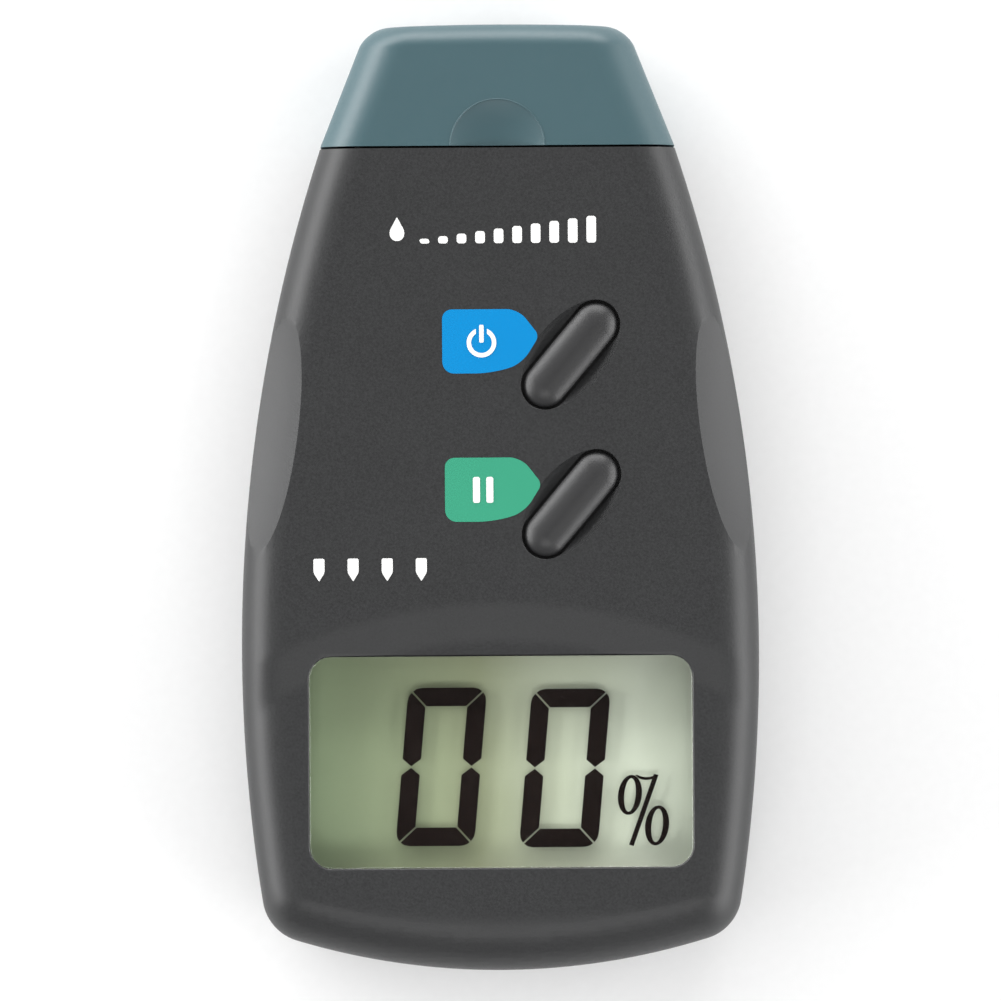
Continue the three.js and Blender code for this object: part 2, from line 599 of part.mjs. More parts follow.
const capHollow = () => {
  const last = CAP_ROUND_START + 1.1;
  const levels = [GAP - 1, CAP_ROUND_START, last, CAP_END - CAP_WALL];
  return loft(levels.map((z) => ({ ...capRing(Math.min(Math.max(z, GAP), last), CAP_WALL), z })));
};
// Ribs that grip the pin block.
const capRibs = () => {
  const along = [GAP, HEAD_FRONT - 0.6];
  const across = [-12, 0, 12].flatMap((x) =>
    [-1, 1].map((side) => block([x - 0.6, x + 0.6], [side * 11.6 - 2, side * 11.6 + 2], along)),
  );
  const ends = [-1, 1].map((side) => block([side * 21.4 - 2, side * 21.4 + 2], [-0.6, 0.6], along));
  const grip = loft([
    { points: roundedRectangle(20.15, 10.15, 1.5, 3), z: 0 },
    { points: roundedRectangle(20.15, 10.15, 1.5, 3), z: 0.5 },
    { points: roundedRectangle(18.9, 9.6, 1.5, 3), z: HEAD_FRONT },
  ]);
  return cut(join(...across, ...ends), grip).intersect(capSkin());
};
// A round scoop for the thumb, half of a circle at the cap's open edge.
const thumbScoop = () => {
  const { sphere, circle } = THUMB_SCOOP;
  const off = Math.sqrt(sphere ** 2 - circle ** 2);
  const lean = Math.atan(CAP_SLOPE);
  const ball = new THREE.SphereGeometry(sphere, 40, 30);
  return solidOf(ball.translate(0, -MID_Z - off * Math.cos(lean), GAP + off * Math.sin(lean)));
};
add(head, "pin_cap", cut(join(cut(capSkin(), capHollow()), capRibs()), thumbScoop()), CAP_PP());

// ------------------------------------------------------------------ battery
const battery = assembly([BATTERY.x, BATTERY.y, BATTERY.z]);
const { length: can, width: canWidth, thick: canThick } = BATTERY;
const batteryBody = () =>
  solidOf(
    new THREE.ExtrudeGeometry(new THREE.Shape(roundedRectangle(canWidth / 2, canThick / 2, 2, 3)), {
      depth: can,
      bevelEnabled: false,
    })
      .rotateY(Math.PI / 2)
      .rotateX(Math.PI / 2),
  );
add(battery, "battery_can", batteryBody(), BATTERY_CAN(), [0, canWidth / 2, canThick / 2]);

const STUD_SPREAD = 6.35; // half of the 12.7 mm between the two terminals
const alongX = (solid) => solid.rotate([0, 90, 0]);
const studPlace = (side) => [can + 0.1, canWidth / 2 + side * STUD_SPREAD, canThick / 2];
const positiveStud = turned([[0, 0], [3.3, 0], [3.3, 0.5], [2.7, 0.7], [2.9, 2.1], [0, 2.1]], 16);
const negativeStud = turned([[0, 0], [3.9, 0], [4.1, 2.1], [0, 2.1]], 6);
add(battery, "battery_positive_stud", alongX(positiveStud), STEEL(), studPlace(1));
add(battery, "battery_negative_stud", alongX(negativeStud), STEEL(), studPlace(-1));

const clip = join(
  block([can + 2.9, can + 4.4], [canWidth / 2 - 12.2, canWidth / 2 + 12.2], [3, canThick - 3]),
  block([can + 4.4, can + 5.4], [canWidth / 2 - 11, canWidth / 2 + 11], [4, canThick - 4]),
);
add(battery, "battery_clip", clip, HEAD_ABS());
[1, -1].forEach((side, i) =>
  add(
    battery,
    ["clip_socket_positive", "clip_socket_negative"][i],
    alongX(turned([[0, 2.35], [3.4, 2.35], [3.4, 2.75], [0, 2.75]], 14)),
    STEEL(),
    [can + 0.05, canWidth / 2 + side * STUD_SPREAD, canThick / 2],
  ),
);
add(battery, "battery_pad", block([6, 38], [4, 22], [canThick + 0.1, canThick + 0.8]), FOAM());

// ------------------------------------------------------------------ wires inside the case
const wire = (points, radius = 0.6) => {
  const path = new THREE.CatmullRomCurve3(points.map((p) => new THREE.Vector3(...p)));
  const section = new THREE.Shape(arc(new THREE.Vector2(), radius, 0, 2 * Math.PI * (7 / 8), 7));
  return solidOf(new THREE.ExtrudeGeometry(section, { steps: 14, extrudePath: path, bevelEnabled: false }));
};
const wiring = assembly();
const clipX = BATTERY.x + can + 5.35;
const clipTop = BATTERY.z + canThick - 4;
for (const [name, y, pad, material] of [
  ["battery_lead_red", -30.6, 20, LEAD_RED()],
  ["battery_lead_black", -40.6, 16, LEAD_BLACK()],
]) {
  const route = [
    [clipX, y, clipTop + 0.3],
    [clipX - 0.2, y + 0.6, clipTop + 1.9],
    [clipX - 1.2, y + 3.4, clipTop + 2.9],
    [pad / 2 + 14.9, -22.4, clipTop + 2.9],
    [pad + 1.6, -18.4, clipTop + 2.8],
    [pad, -14.4, BOARD_Z - 1.6],
    [pad, -13.9, BOARD_Z - 0.4],
  ];
  add(wiring, name, wire(route), material);
}
const socketEnd = BODY_TOP_Y - 7.5;
pinPlaces.forEach(([x, back], i) => {
  const z = MID_Z - back;
  const pad = Math.sign(x) * (back > 0 ? 4.5 : 8.5) + (x > 0 ? 3.5 : 0);
  const route = [
    [x, socketEnd - 0.3, z],
    [x, socketEnd - 2, z],
    [(2 * x + pad) / 3, 35.2, z - 1.2],
    [(x + 2 * pad) / 3, 32.4, (z + BOARD_Z) / 2 - 2.6],
    [pad, 29.4, BOARD_Z - 2.6],
    [pad, 28.9, BOARD_Z - 0.3],
  ];
  add(wiring, `pin_lead_${i + 1}`, wire(route), x < 0 ? LEAD_WHITE() : LEAD_RED());
});

export default meter;
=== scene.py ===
"""Pin moisture meter: smooth shells, keys, cap, display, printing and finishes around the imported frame."""
import math

import bmesh
import bpy
from mathutils import Matrix, Vector


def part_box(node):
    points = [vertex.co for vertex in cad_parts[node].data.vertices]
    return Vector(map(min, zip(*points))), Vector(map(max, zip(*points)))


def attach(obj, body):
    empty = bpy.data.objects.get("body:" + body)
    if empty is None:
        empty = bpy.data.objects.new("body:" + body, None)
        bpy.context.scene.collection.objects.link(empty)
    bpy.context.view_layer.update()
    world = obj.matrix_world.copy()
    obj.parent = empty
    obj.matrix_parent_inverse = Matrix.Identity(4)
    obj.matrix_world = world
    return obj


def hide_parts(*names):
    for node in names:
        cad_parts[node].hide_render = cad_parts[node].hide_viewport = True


MM = 0.001

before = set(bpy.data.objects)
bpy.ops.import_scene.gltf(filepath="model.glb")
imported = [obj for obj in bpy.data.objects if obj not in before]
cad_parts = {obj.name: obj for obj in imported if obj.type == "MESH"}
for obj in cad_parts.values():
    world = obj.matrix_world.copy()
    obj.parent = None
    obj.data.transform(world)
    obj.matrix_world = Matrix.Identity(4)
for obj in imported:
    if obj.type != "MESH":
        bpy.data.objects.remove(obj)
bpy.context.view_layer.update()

# ------------------------------------------------------------------ sizes, in metres, from the frame
shell_low, shell_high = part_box("front_shell")
HALF_WIDTH = shell_high.x
HEEL_Y = shell_low.y
BODY_TOP_Y = shell_high.y
FACE_Z = shell_high.z
SEAM_Z = shell_low.z
SEAM_GAP = 0.3 * MM
MID_Z = FACE_Z / 2
# The long sides and the lower end are arcs about these centres; the left side is the right one mirrored.
SIDE_CENTRE = Vector((HALF_WIDTH - 217 * MM, -21 * MM, 0))
HEEL_CENTRE = Vector((0, HEEL_Y + 95 * MM, 0))
CORNER_RADIUS = 6.5 * MM  # between a long side and the lower end
EDGE = 6 * MM  # rounding of the long edges
WALL = 2 * MM
DISH_Z = FACE_Z - 1 * MM  # the lowered face round the display
DISH_CENTRE_Y = -84.1 * MM
DISH_ARC = 70.5 * MM  # radius of its upper edge
DISH_RAMP = 6.4 * MM  # how wide the step down to it is
HEEL_FALL_CENTRE_Y = 75.7 * MM
HEEL_FALL_ARC = 132 * MM  # beyond it, the face slopes down to the lower end
HEEL_SLOPE = 0.19
KEY_TILT = math.radians(50)
KEY_RADIUS = 2.9 * MM
KEY_REACH = 5.35 * MM
KEY_CLEARANCE = 0.4 * MM
KEY_CROWN = 3.8 * MM
CAP_WALL = 1.8 * MM
CAP_TAPER = 0.384  # how much each side closes in per unit of length
CAP_SLOPE = 0.15  # the same for the front and the back
CAP_END_ROUND = 2.9 * MM
SCOOP_CIRCLE = 6.35 * MM
DISPLAY_Y = sum(p.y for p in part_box("lcd_front_glass")) / 2
WINDOW_SIZE = Vector((51.8 * MM, 28.6 * MM))
WINDOW_RADIUS = 3 * MM
WINDOW_GAP = 0.12 * MM
DOOR_GAP = 0.3 * MM
HEAD_HALF_WIDTH = 19.8 * MM
HEAD_HALF_HEIGHT = 9.8 * MM
HEAD_CLEARANCE = 0.3 * MM
SOCKET_RADIUS = 2.3 * MM


# ------------------------------------------------------------------ materials
def linear(colour, alpha=1.0):
    """An sRGB hex colour as linear red, green, blue and alpha."""
    channels = [int(colour[i : i + 2], 16) / 255 for i in (1, 3, 5)]
    return [c / 12.92 if c <= 0.04045 else ((c + 0.055) / 1.055) ** 2.4 for c in channels] + [alpha]


def add_node(material, kind, inputs=None, **settings):
    """Adds a shader node. An input takes a value, or another node's output to link."""
    new = material.node_tree.nodes.new(kind)
    for key, value in settings.items():
        setattr(new, key, value)
    for key, value in (inputs or {}).items():
        if isinstance(value, bpy.types.NodeSocket):
            material.node_tree.links.new(value, new.inputs[key])
        else:
            new.inputs[key].default_value = value
    return new


def new_material(name):
    material = bpy.data.materials.new(name)
    material.use_nodes = True
    material.node_tree.nodes.clear()
    return material


def output(material, surface):
    add_node(material, "ShaderNodeOutputMaterial", {"Surface": surface})
    return material


def speckle(material, size, detail=2.0, roughness=0.5):
    """Noise in the piece's own space, with cells of about the given size in metres."""
    place = add_node(material, "ShaderNodeTexCoord")
    return add_node(
        material,
        "ShaderNodeTexNoise",
        {"Vector": place.outputs["Object"], "Scale": 1 / size, "Detail": detail, "Roughness": roughness},
    )


def spread(material, factor, low, high):
    """Maps a 0.3 to 0.7 noise value onto low to high."""
    return add_node(
        material,
        "ShaderNodeMapRange",
        {"Value": factor, "From Min": 0.3, "From Max": 0.7, "To Min": low, "To Max": high},
    ).outputs["Result"]


def tinted(material, factor, dark, light):
    return add_node(
        material,
        "ShaderNodeMix",
        {"Factor": factor, 6: linear(dark), 7: linear(light)},
        data_type="RGBA",
    ).outputs[2]


def textured_abs():
    """ABS moulded in a spark-eroded tool: charcoal and semi-matt, with a fine sandy grain."""
    material = new_material("textured charcoal ABS")
    grain = speckle(material, 0.3 * MM, 3.0, 0.6)  # the real grain is half as coarse, too fine to show
    cloud = speckle(material, 9 * MM)
    tone = add_node(
        material,
        "ShaderNodeMath",
        {0: cloud.outputs["Fac"], 1: 0.3, 2: spread(material, grain.outputs["Fac"], 0.0, 0.7)},
        operation="MULTIPLY_ADD",
    )
    bump = add_node(
        material,
        "ShaderNodeBump",
        {"Height": grain.outputs["Fac"], "Strength": 0.14, "Distance": 0.05 * MM},
    )
    shader = add_node(
        material,
        "ShaderNodeBsdfPrincipled",
        {
            "Base Color": tinted(material, tone.outputs["Value"], "#19191a", "#292a2b"),
            "Roughness": spread(material, grain.outputs["Fac"], 0.4, 0.52),
            "IOR": 1.53,
            "Normal": bump.outputs["Normal"],
        },
    )
    return output(material, shader.outputs["BSDF"])


def moulded(name, dark, light, roughness, grain, strength, ior=1.5):
    """A plain moulded plastic: a slow drift of tone, and a fine bump that breaks up its gloss."""
    material = new_material(name)
    fine = speckle(material, grain)
    cloud = speckle(material, 12 * MM)
    bump = add_node(
        material,
        "ShaderNodeBump",
        {"Height": fine.outputs["Fac"], "Strength": strength, "Distance": 0.04 * MM},
    )
    shader = add_node(
        material,
        "ShaderNodeBsdfPrincipled",
        {
            "Base Color": tinted(material, cloud.outputs["Fac"], dark, light),
            "Roughness": spread(material, fine.outputs["Fac"], roughness - 0.04, roughness + 0.04),
            "IOR": ior,
            "Normal": bump.outputs["Normal"],
        },
    )
    return output(material, shader.outputs["BSDF"])


def key_abs():
    """ABS keys, lightly textured and rubbed a little smoother than the case."""
    return moulded("moulded ABS keys", "#242425", "#29292a", 0.42, 0.25 * MM, 0.25, 1.53)


def cap_polypropylene():
    """Polypropylene, blue-grey: waxy and even, so its highlights are wide and soft."""
    return moulded("moulded polypropylene", "#284950", "#2c4d54", 0.44, 0.5 * MM, 0.05, 1.7)


def black_abs():
    """Black ABS, plain moulded and satin."""
    return moulded("black moulded ABS", "#161617", "#1b1b1c", 0.45, 0.4 * MM, 0.1, 1.53)


def epoxy():
    """Transfer-moulded epoxy of chips and switches: black and finely matt."""
    return moulded("moulded epoxy", "#121212", "#181818", 0.6, 0.15 * MM, 0.2, 1.55)


def silicone():
    """Striped silicone of the contact strips: soft and matt."""
    return moulded("striped silicone", "#a05462", "#b46272", 0.7, 0.2 * MM, 0.15, 1.41)


def foam():
    """Closed-cell foam: black, dull and pitted."""
    return moulded("closed-cell foam", "#1d1d1e", "#29292a", 0.95, 0.4 * MM, 1.0)


def pvc(name, dark, light):
    """Extruded PVC insulation: smooth, with a low gloss."""
    return moulded(name, dark, light, 0.42, 0.6 * MM, 0.05, 1.54)


def solder_mask():
    """Fibreglass board under green lacquer: glossy, with the weave just showing."""
    return moulded("green solder mask", "#1b5633", "#22663d", 0.3, 0.7 * MM, 0.3, 1.55)


def polyester_label():
    """Silvered polyester film of the rear label: satin and nearly flat."""
    return moulded("polyester label film", "#b7bbbf", "#c3c7ca", 0.35, 0.3 * MM, 0.05, 1.6)


def printing(name, dark, light):
    """Pad-printed ink: opaque and flat in tone, with a slightly uneven gloss."""
    return moulded(name, dark, light, 0.4, 0.3 * MM, 0.08, 1.3)


def metal(name, dark, light, roughness, grain):
    """A metal surface: toned by fine machining or plating marks, which also spread its gloss."""
    material = new_material(name)
    marks = speckle(material, grain, 3.0)
    bump = add_node(
        material,
        "ShaderNodeBump",
        {"Height": marks.outputs["Fac"], "Strength": 0.08, "Distance": 0.03 * MM},
    )
    shader = add_node(
        material,
        "ShaderNodeBsdfPrincipled",
        {
            "Base Color": tinted(material, marks.outputs["Fac"], dark, light),
            "Metallic": 1.0,
            "Roughness": spread(material, marks.outputs["Fac"], roughness - 0.05, roughness + 0.05),
            "Normal": bump.outputs["Normal"],
        },
    )
    return output(material, shader.outputs["BSDF"])


def clear_plate(name, tint, roughness, ior):
    """Clear plastic or glass that lets the lamps through, as a thin pane does."""
    material = new_material(name)
    haze = speckle(material, 6 * MM)
    shader = add_node(
        material,
        "ShaderNodeBsdfPrincipled",
        {
            "Base Color": linear(tint),
            "Roughness": spread(material, haze.outputs["Fac"], roughness, roughness + 0.02),
            "IOR": ior,
            "Transmission Weight": 1.0,
        },
    )
    through = add_node(material, "ShaderNodeBsdfTransparent", {"Color": linear(tint)})
    path = add_node(material, "ShaderNodeLightPath")
    mixed = add_node(
        material,
        "ShaderNodeMixShader",
        {0: path.outputs["Is Shadow Ray"], 1: shader.outputs["BSDF"], 2: through.outputs["BSDF"]},
    )
    return output(material, mixed.outputs["Shader"])


def display_background():
    """Reflective film behind liquid crystal: grey-green, with a pearly unevenness, and painted light: painted
    shade to the left, a painted highlight towards the right and a painted shadow of the window's wall at the
    right edge.
    """
    material = new_material("reflective display film")
    place = add_node(material, "ShaderNodeTexCoord")
    axes = add_node(material, "ShaderNodeSeparateXYZ", {"Vector": place.outputs["Object"]})
    across = add_node(
        material,
        "ShaderNodeMapRange",
        {"Value": axes.outputs["X"], "From Min": -26 * MM, "From Max": 26 * MM},
    )
    pearl = speckle(material, 14 * MM, 3.0)
    uneven = add_node(
        material,
        "ShaderNodeMath",
        {0: pearl.outputs["Fac"], 1: 0.16, 2: across.outputs["Result"]},
        operation="MULTIPLY_ADD",
    )
    shift = add_node(material, "ShaderNodeMath", {0: uneven.outputs["Value"], 1: 0.08}, operation="SUBTRACT")
    ramp = add_node(material, "ShaderNodeValToRGB", {"Fac": shift.outputs["Value"]})
    stops = ramp.color_ramp.elements
    # Painted light in the stops: all lighter than the film to make up for the shade of the window's walls,
    # darker to the left as painted shade, brightest near the right as a painted highlight, and darker again
    # at the right edge as a painted shadow of the window's wall.
    stops[0].position, stops[0].color = 0.0, linear("#98ab85")
    stops[1].position, stops[1].color = 1.0, linear("#c6d0bb")
    stops.new(0.45).color = linear("#a2ab88")
    stops.new(0.86).color = linear("#e6f0da")
    grain = speckle(material, 0.3 * MM)
    shader = add_node(
        material,
        "ShaderNodeBsdfPrincipled",
        {
            "Base Color": ramp.outputs["Color"],
            "Roughness": spread(material, grain.outputs["Fac"], 0.5, 0.6),
            "IOR": 1.5,
        },
    )
    return output(material, shader.outputs["BSDF"])


CASE_ABS = textured_abs()
KEY_ABS = key_abs()
CAP_PLASTIC = cap_polypropylene()
BLACK_ABS = black_abs()
EPOXY = epoxy()
BOARD = solder_mask()
ACRYLIC = clear_plate("clear moulded acrylic", "#ffffff", 0.02, 1.49)
GLASS = clear_plate("display glass", "#ffffff", 0.02, 1.2)
REFLECTOR = display_background()
SEGMENT_INK = moulded("dark liquid crystal", "#150f0d", "#191311", 0.5, 0.4 * MM, 0.02, 1.05)
BLUE_INK = printing("blue printing ink", "#0080c0", "#0084c4")
GREEN_INK = printing("green printing ink", "#389576", "#3b9a7a")
WHITE_INK = printing("white printing ink", "#e6e6e4", "#f2f2f0")
STEEL = metal("nickel-plated steel", "#bfc1c4", "#d2d4d6", 0.22, 0.4 * MM)
BRASS = metal("turned brass", "#b8903c", "#cfa650", 0.28, 0.3 * MM)
DARK_STEEL = metal("black zinc-plated steel", "#3a3c3f", "#47494c", 0.4, 0.3 * MM)
JACKET = metal("printed battery jacket", "#2a4a75", "#34577f", 0.4, 0.5 * MM)


# ------------------------------------------------------------------ modelling helpers
def fresh(primitive, **settings):
    """Adds one primitive with nothing else selected, and returns its object."""
    bpy.ops.object.select_all(action="DESELECT")
    primitive(**settings)
    return bpy.context.object


def edit(piece, kind="VERT"):
    """Opens one piece in edit mode with nothing selected."""
    bpy.ops.object.select_all(action="DESELECT")
    bpy.context.view_layer.objects.active = piece
    piece.select_set(True)
    bpy.ops.object.mode_set(mode="EDIT")
    bpy.ops.mesh.select_mode(type=kind)
    bpy.ops.mesh.select_all(action="DESELECT")


def done():
    bpy.ops.object.mode_set(mode="OBJECT")


def choose(kind, test):
    """Selects, in edit mode, only the vertices, edges or faces that pass the test."""
    bpy.ops.mesh.select_mode(type=kind)
    bpy.ops.mesh.select_all(action="DESELECT")
    data = bpy.context.object.data
    mesh = bmesh.from_edit_mesh(data)
    for item in {"VERT": mesh.verts, "EDGE": mesh.edges, "FACE": mesh.faces}[kind]:
        item.select_set(bool(test(item)))
    mesh.select_flush_mode()
    bmesh.update_edit_mesh(data)


def move(x=0.0, y=0.0, z=0.0):
    bpy.ops.transform.translate(value=(x, y, z))


def extrude(x=0.0, y=0.0, z=0.0):
    bpy.ops.mesh.extrude_region_move(TRANSFORM_OT_translate={"value": (x, y, z)})


def tidy_mesh(merge=0.002 * MM):
    """Merges doubles and turns every face outwards."""
    bpy.ops.mesh.select_all(action="SELECT")
    bpy.ops.mesh.remove_doubles(threshold=merge)
    bpy.ops.mesh.normals_make_consistent(inside=False)


def merge_slivers(piece, merge=0.01 * MM):
    """Closes the hairline faces that a cut along a curved surface leaves."""
    edit(piece)
    bpy.ops.mesh.select_all(action="SELECT")
    bpy.ops.mesh.remove_doubles(threshold=merge)
    done()


def apply_modifier(piece, kind, **settings):
    bpy.ops.object.select_all(action="DESELECT")
    bpy.context.view_layer.objects.active = piece
    piece.select_set(True)
    modifier = piece.modifiers.new(kind.title(), kind)
    for key, value in settings.items():
        setattr(modifier, key, value)
    bpy.ops.object.modifier_apply(modifier=modifier.name)


def carve(piece, tool, operation="DIFFERENCE"):
    """Cuts the tool away from the piece, or joins it on, and uses the tool up."""
    apply_modifier(piece, "BOOLEAN", operation=operation, object=tool, solver="EXACT")
    bpy.data.objects.remove(tool)


def join(pieces):
    bpy.ops.object.select_all(action="DESELECT")
    for piece in pieces:
        piece.select_set(True)
    bpy.context.view_layer.objects.active = pieces[0]
    if len(pieces) > 1:
        bpy.ops.object.join()
    return bpy.context.object


def apply_place(piece):
    bpy.ops.object.select_all(action="DESELECT")
    bpy.context.view_layer.objects.active = piece
    piece.select_set(True)
    bpy.ops.object.transform_apply(location=True, rotation=True, scale=True)


def round_edges(piece, width, degrees=30):
    """Rounds the edges that are sharper than the given angle."""
    apply_modifier(
        piece,
        "BEVEL",
        width=width,
        segments=2,
        limit_method="ANGLE",
        angle_limit=math.radians(degrees),
        use_clamp_overlap=False,
    )


def smooth(piece, degrees):
    """Shades a piece smooth, except across the edges that are sharper than the given angle."""
    bpy.ops.object.select_all(action="DESELECT")
    bpy.context.view_layer.objects.active = piece
    piece.select_set(True)
    bpy.ops.object.shade_smooth_by_angle(angle=math.radians(degrees))
    apply_modifier(piece, "WEIGHTED_NORMAL", keep_sharp=True, mode="FACE_AREA")


def finish_piece(piece, name, body, material, replaced=()):
    """Names a piece, applies its place, gives it its material, and says what it rides on and stands for."""
    apply_place(piece)
    piece.name = name
    piece.data.name = name
    piece.data.materials.clear()
    piece.data.materials.append(material)
    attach(piece, body)
    if replaced:
        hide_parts(*replaced)
    return piece


def block(low, high):
    """A box between two corners."""
    low, high = Vector(low), Vector(high)
    piece = fresh(bpy.ops.mesh.primitive_cube_add, size=1, location=(low + high) / 2)
    piece.scale = high - low
    apply_place(piece)
    return piece


def cylinder(centre, radius, low, high, vertices=48):
    """An upright cylinder between two heights."""
    piece = fresh(
        bpy.ops.mesh.primitive_cylinder_add,
        vertices=vertices,
        radius=radius,
        depth=high - low,
        location=(centre[0], centre[1], (low + high) / 2),
    )
    apply_place(piece)
    return piece


def rounded_slab(centre, size, radius, low, high, segments=10):
    """An upright rounded rectangle between two heights."""
    half = Vector(size) / 2
    x, y = centre
    piece = block((x - half.x, y - half.y, low), (x + half.x, y + half.y, high))
    edit(piece)
    choose("EDGE", lambda e: abs(e.verts[0].co.z - e.verts[1].co.z) > (high - low) / 2)
    bpy.ops.mesh.bevel(offset=radius, segments=segments, affect="EDGES")
    done()
    return piece


def stadium(reach, radius, low, high, segments=66):
    """A slot shape along X: a cylinder, with no vertex at its middle, whose halves are moved apart."""
    piece = cylinder((0, 0), radius, low, high, vertices=segments)
    edit(piece)
    for side in (1, -1):
        choose("VERT", lambda v: side * v.co.x > 0)
        move(x=side * reach)
    done()
    return piece


def body_plan(inset, z, end_y=None):
    """The body's plan as one flat face: a point spun round three centres, mirrored and filled."""
    end_y = BODY_TOP_Y if end_y is None else end_y
    side_radius = (HALF_WIDTH - SIDE_CENTRE.x) - inset
    heel_radius = (HEEL_CENTRE.y - HEEL_Y) - inset
    a = HALF_WIDTH - SIDE_CENTRE.x - CORNER_RADIUS
    b = HEEL_CENTRE.y - HEEL_Y - CORNER_RADIUS
    span = HEEL_CENTRE - SIDE_CENTRE
    along = (a * a - b * b + span.length_squared) / (2 * span.length)
    across = math.sqrt(a * a - along * along)
    unit = span.normalized()
    corner = SIDE_CENTRE + unit * along + Vector((unit.y, -unit.x, 0)) * across
    to_corner = corner - HEEL_CENTRE
    heel_turn = math.atan2(to_corner.y, to_corner.x) + math.pi / 2
    from_side = corner - SIDE_CENTRE
    side_start = math.atan2(from_side.y, from_side.x)
    side_end = math.asin((end_y - SIDE_CENTRE.y) / side_radius)
    arcs = [  # each with its centre, how far it turns, and its number of steps
        (HEEL_CENTRE, heel_turn, 16),
        (corner, side_start - (heel_turn - math.pi / 2), 12),
        (SIDE_CENTRE, side_end - side_start, 44),
    ]
    piece = fresh(bpy.ops.mesh.primitive_plane_add, size=MM, location=(0, 0, 0))
    edit(piece)
    bpy.ops.mesh.select_all(action="SELECT")
    bpy.ops.mesh.merge(type="CENTER")
    bpy.ops.mesh.select_all(action="SELECT")
    move(y=HEEL_CENTRE.y - heel_radius, z=z)
    for centre, turn, steps in arcs:
        bpy.ops.mesh.spin(steps=steps, angle=-turn, center=(centre.x, centre.y, z), axis=(0, 0, 1))
    bpy.ops.mesh.select_all(action="SELECT")
    bpy.ops.mesh.symmetrize(direction="POSITIVE_X")
    bpy.ops.mesh.select_all(action="SELECT")
    bpy.ops.mesh.remove_doubles(threshold=0.001 * MM)
    bpy.ops.mesh.select_all(action="SELECT")
    bpy.ops.mesh.edge_face_add()
    done()
    return piece


def body_solid(inset, low, high, rounded, end_y=None):
    """The body's plan between two heights, with the rim at the rounded height rounded off."""
    end = BODY_TOP_Y if end_y is None else end_y
    piece = body_plan(inset, low, end_y)
    edit(piece)
    bpy.ops.mesh.select_all(action="SELECT")
    extrude(z=high - low)
    tidy_mesh()
    level = high if rounded > 0 else low

    def on_rim(e):
        a, b = (v.co for v in e.verts)
        flat = abs(a.z - level) < 1e-6 and abs(b.z - level) < 1e-6
        return flat and not (a.y > end - 1e-6 and b.y > end - 1e-6)

    choose("EDGE", on_rim)
    bpy.ops.mesh.bevel(offset=abs(rounded) - inset, segments=12, affect="EDGES")
    done()
    return piece


# ------------------------------------------------------------------ case
def eased(value):
    """0 below 0 and 1 above 1, with a short soft start and stop."""
    value = min(max(value, 0.0), 1.0)
    soft = 0.12
    area = 1 - soft
    if value < soft:
        return value * value / (2 * soft * area)
    if value > 1 - soft:
        return 1 - (1 - value) ** 2 / (2 * soft * area)
    return (value - soft / 2) / area


def face_fall(x, y):
    """How far the face lies below its upper part: a step round the display, and a slope at the lower end."""
    from_dish = math.hypot(x, y - DISH_CENTRE_Y)
    step = (FACE_Z - DISH_Z) * eased((DISH_ARC - from_dish) / DISH_RAMP)
    past_heel = max(math.hypot(x, y - HEEL_FALL_CENTRE_Y) - HEEL_FALL_ARC, 0.0)
    soft = 1.2 * MM
    slope = past_heel**2 / (2 * soft) if past_heel < soft else past_heel - soft / 2
    return step + HEEL_SLOPE * slope


def gridded(piece, top_y, pitch):
    """Cuts the part of a piece below top_y into a fine grid, so that it can be shaped."""
    edit(piece, "FACE")
    for row in range(int((top_y - HEEL_Y) / pitch) + 1):
        y = top_y - row * pitch
        choose("FACE", lambda f: row == 0 or f.calc_center_median().y < y + pitch)
        bpy.ops.mesh.bisect(plane_co=(0, y, 0), plane_no=(0, 1, 0))
    columns = int((HALF_WIDTH - EDGE) / pitch - 0.5)  # the rounding beyond them is fine enough already
    for column in range(-columns, columns + 1):
        choose("FACE", lambda f: f.calc_center_median().y < top_y and f.normal.z > 0.4)
        bpy.ops.mesh.bisect(plane_co=(column * pitch, 0, 0), plane_no=(1, 0, 0))
    done()


def key_dimple(x, y):
    """The shallow oval dish that a key stands in."""
    lift, depth, half_long, half_wide = 1.2 * MM, 1.9 * MM, 8.8 * MM, 4.9 * MM
    share = math.sqrt(1 - (lift / (lift + depth)) ** 2)
    piece = fresh(
        bpy.ops.mesh.primitive_uv_sphere_add,
        segments=96,
        ring_count=48,
        radius=1,
        location=(x, y, FACE_Z + lift),
        rotation=(0, 0, KEY_TILT),
    )
    piece.scale = (half_long / share, half_wide / share, lift + depth)
    apply_place(piece)
    return piece


def finger_scoop(side):
    """The long shallow scoop across a rounded edge of the case."""
    y, half, normal, across, bite = 9.2 * MM, 27 * MM, 7 * MM, 16 * MM, 1.8 * MM
    side_radius = HALF_WIDTH - SIDE_CENTRE.x
    outer = SIDE_CENTRE.x + math.sqrt(side_radius**2 - (y - SIDE_CENTRE.y) ** 2)
    lean = math.asin((y - SIDE_CENTRE.y) / side_radius)
    out = (normal - bite) * math.sqrt(0.5)
    on_edge = EDGE * (1 - math.sqrt(0.5))
    piece = fresh(bpy.ops.mesh.primitive_uv_sphere_add, segments=128, ring_count=64, radius=1)
    piece.matrix_world = (
        Matrix.Translation((side * (outer - on_edge + out), y, FACE_Z - on_edge + out))
        @ Matrix.Rotation(side * lean, 4, "Z")
        @ Matrix.Rotation(-side * math.pi / 4, 4, "Y")
        @ Matrix.Diagonal((normal, half, across, 1))
    )
    apply_place(piece)
    return piece


def head_opening():
    """The hole for the pin block in the upper end of the case, half in each shell."""
    half, upright = HEAD_HALF_WIDTH + HEAD_CLEARANCE, HEAD_HALF_HEIGHT + HEAD_CLEARANCE
    start, end = BODY_TOP_Y - WALL - MM, BODY_TOP_Y + MM
    return block((-half, start, MID_Z - upright), (half, end, MID_Z + upright))


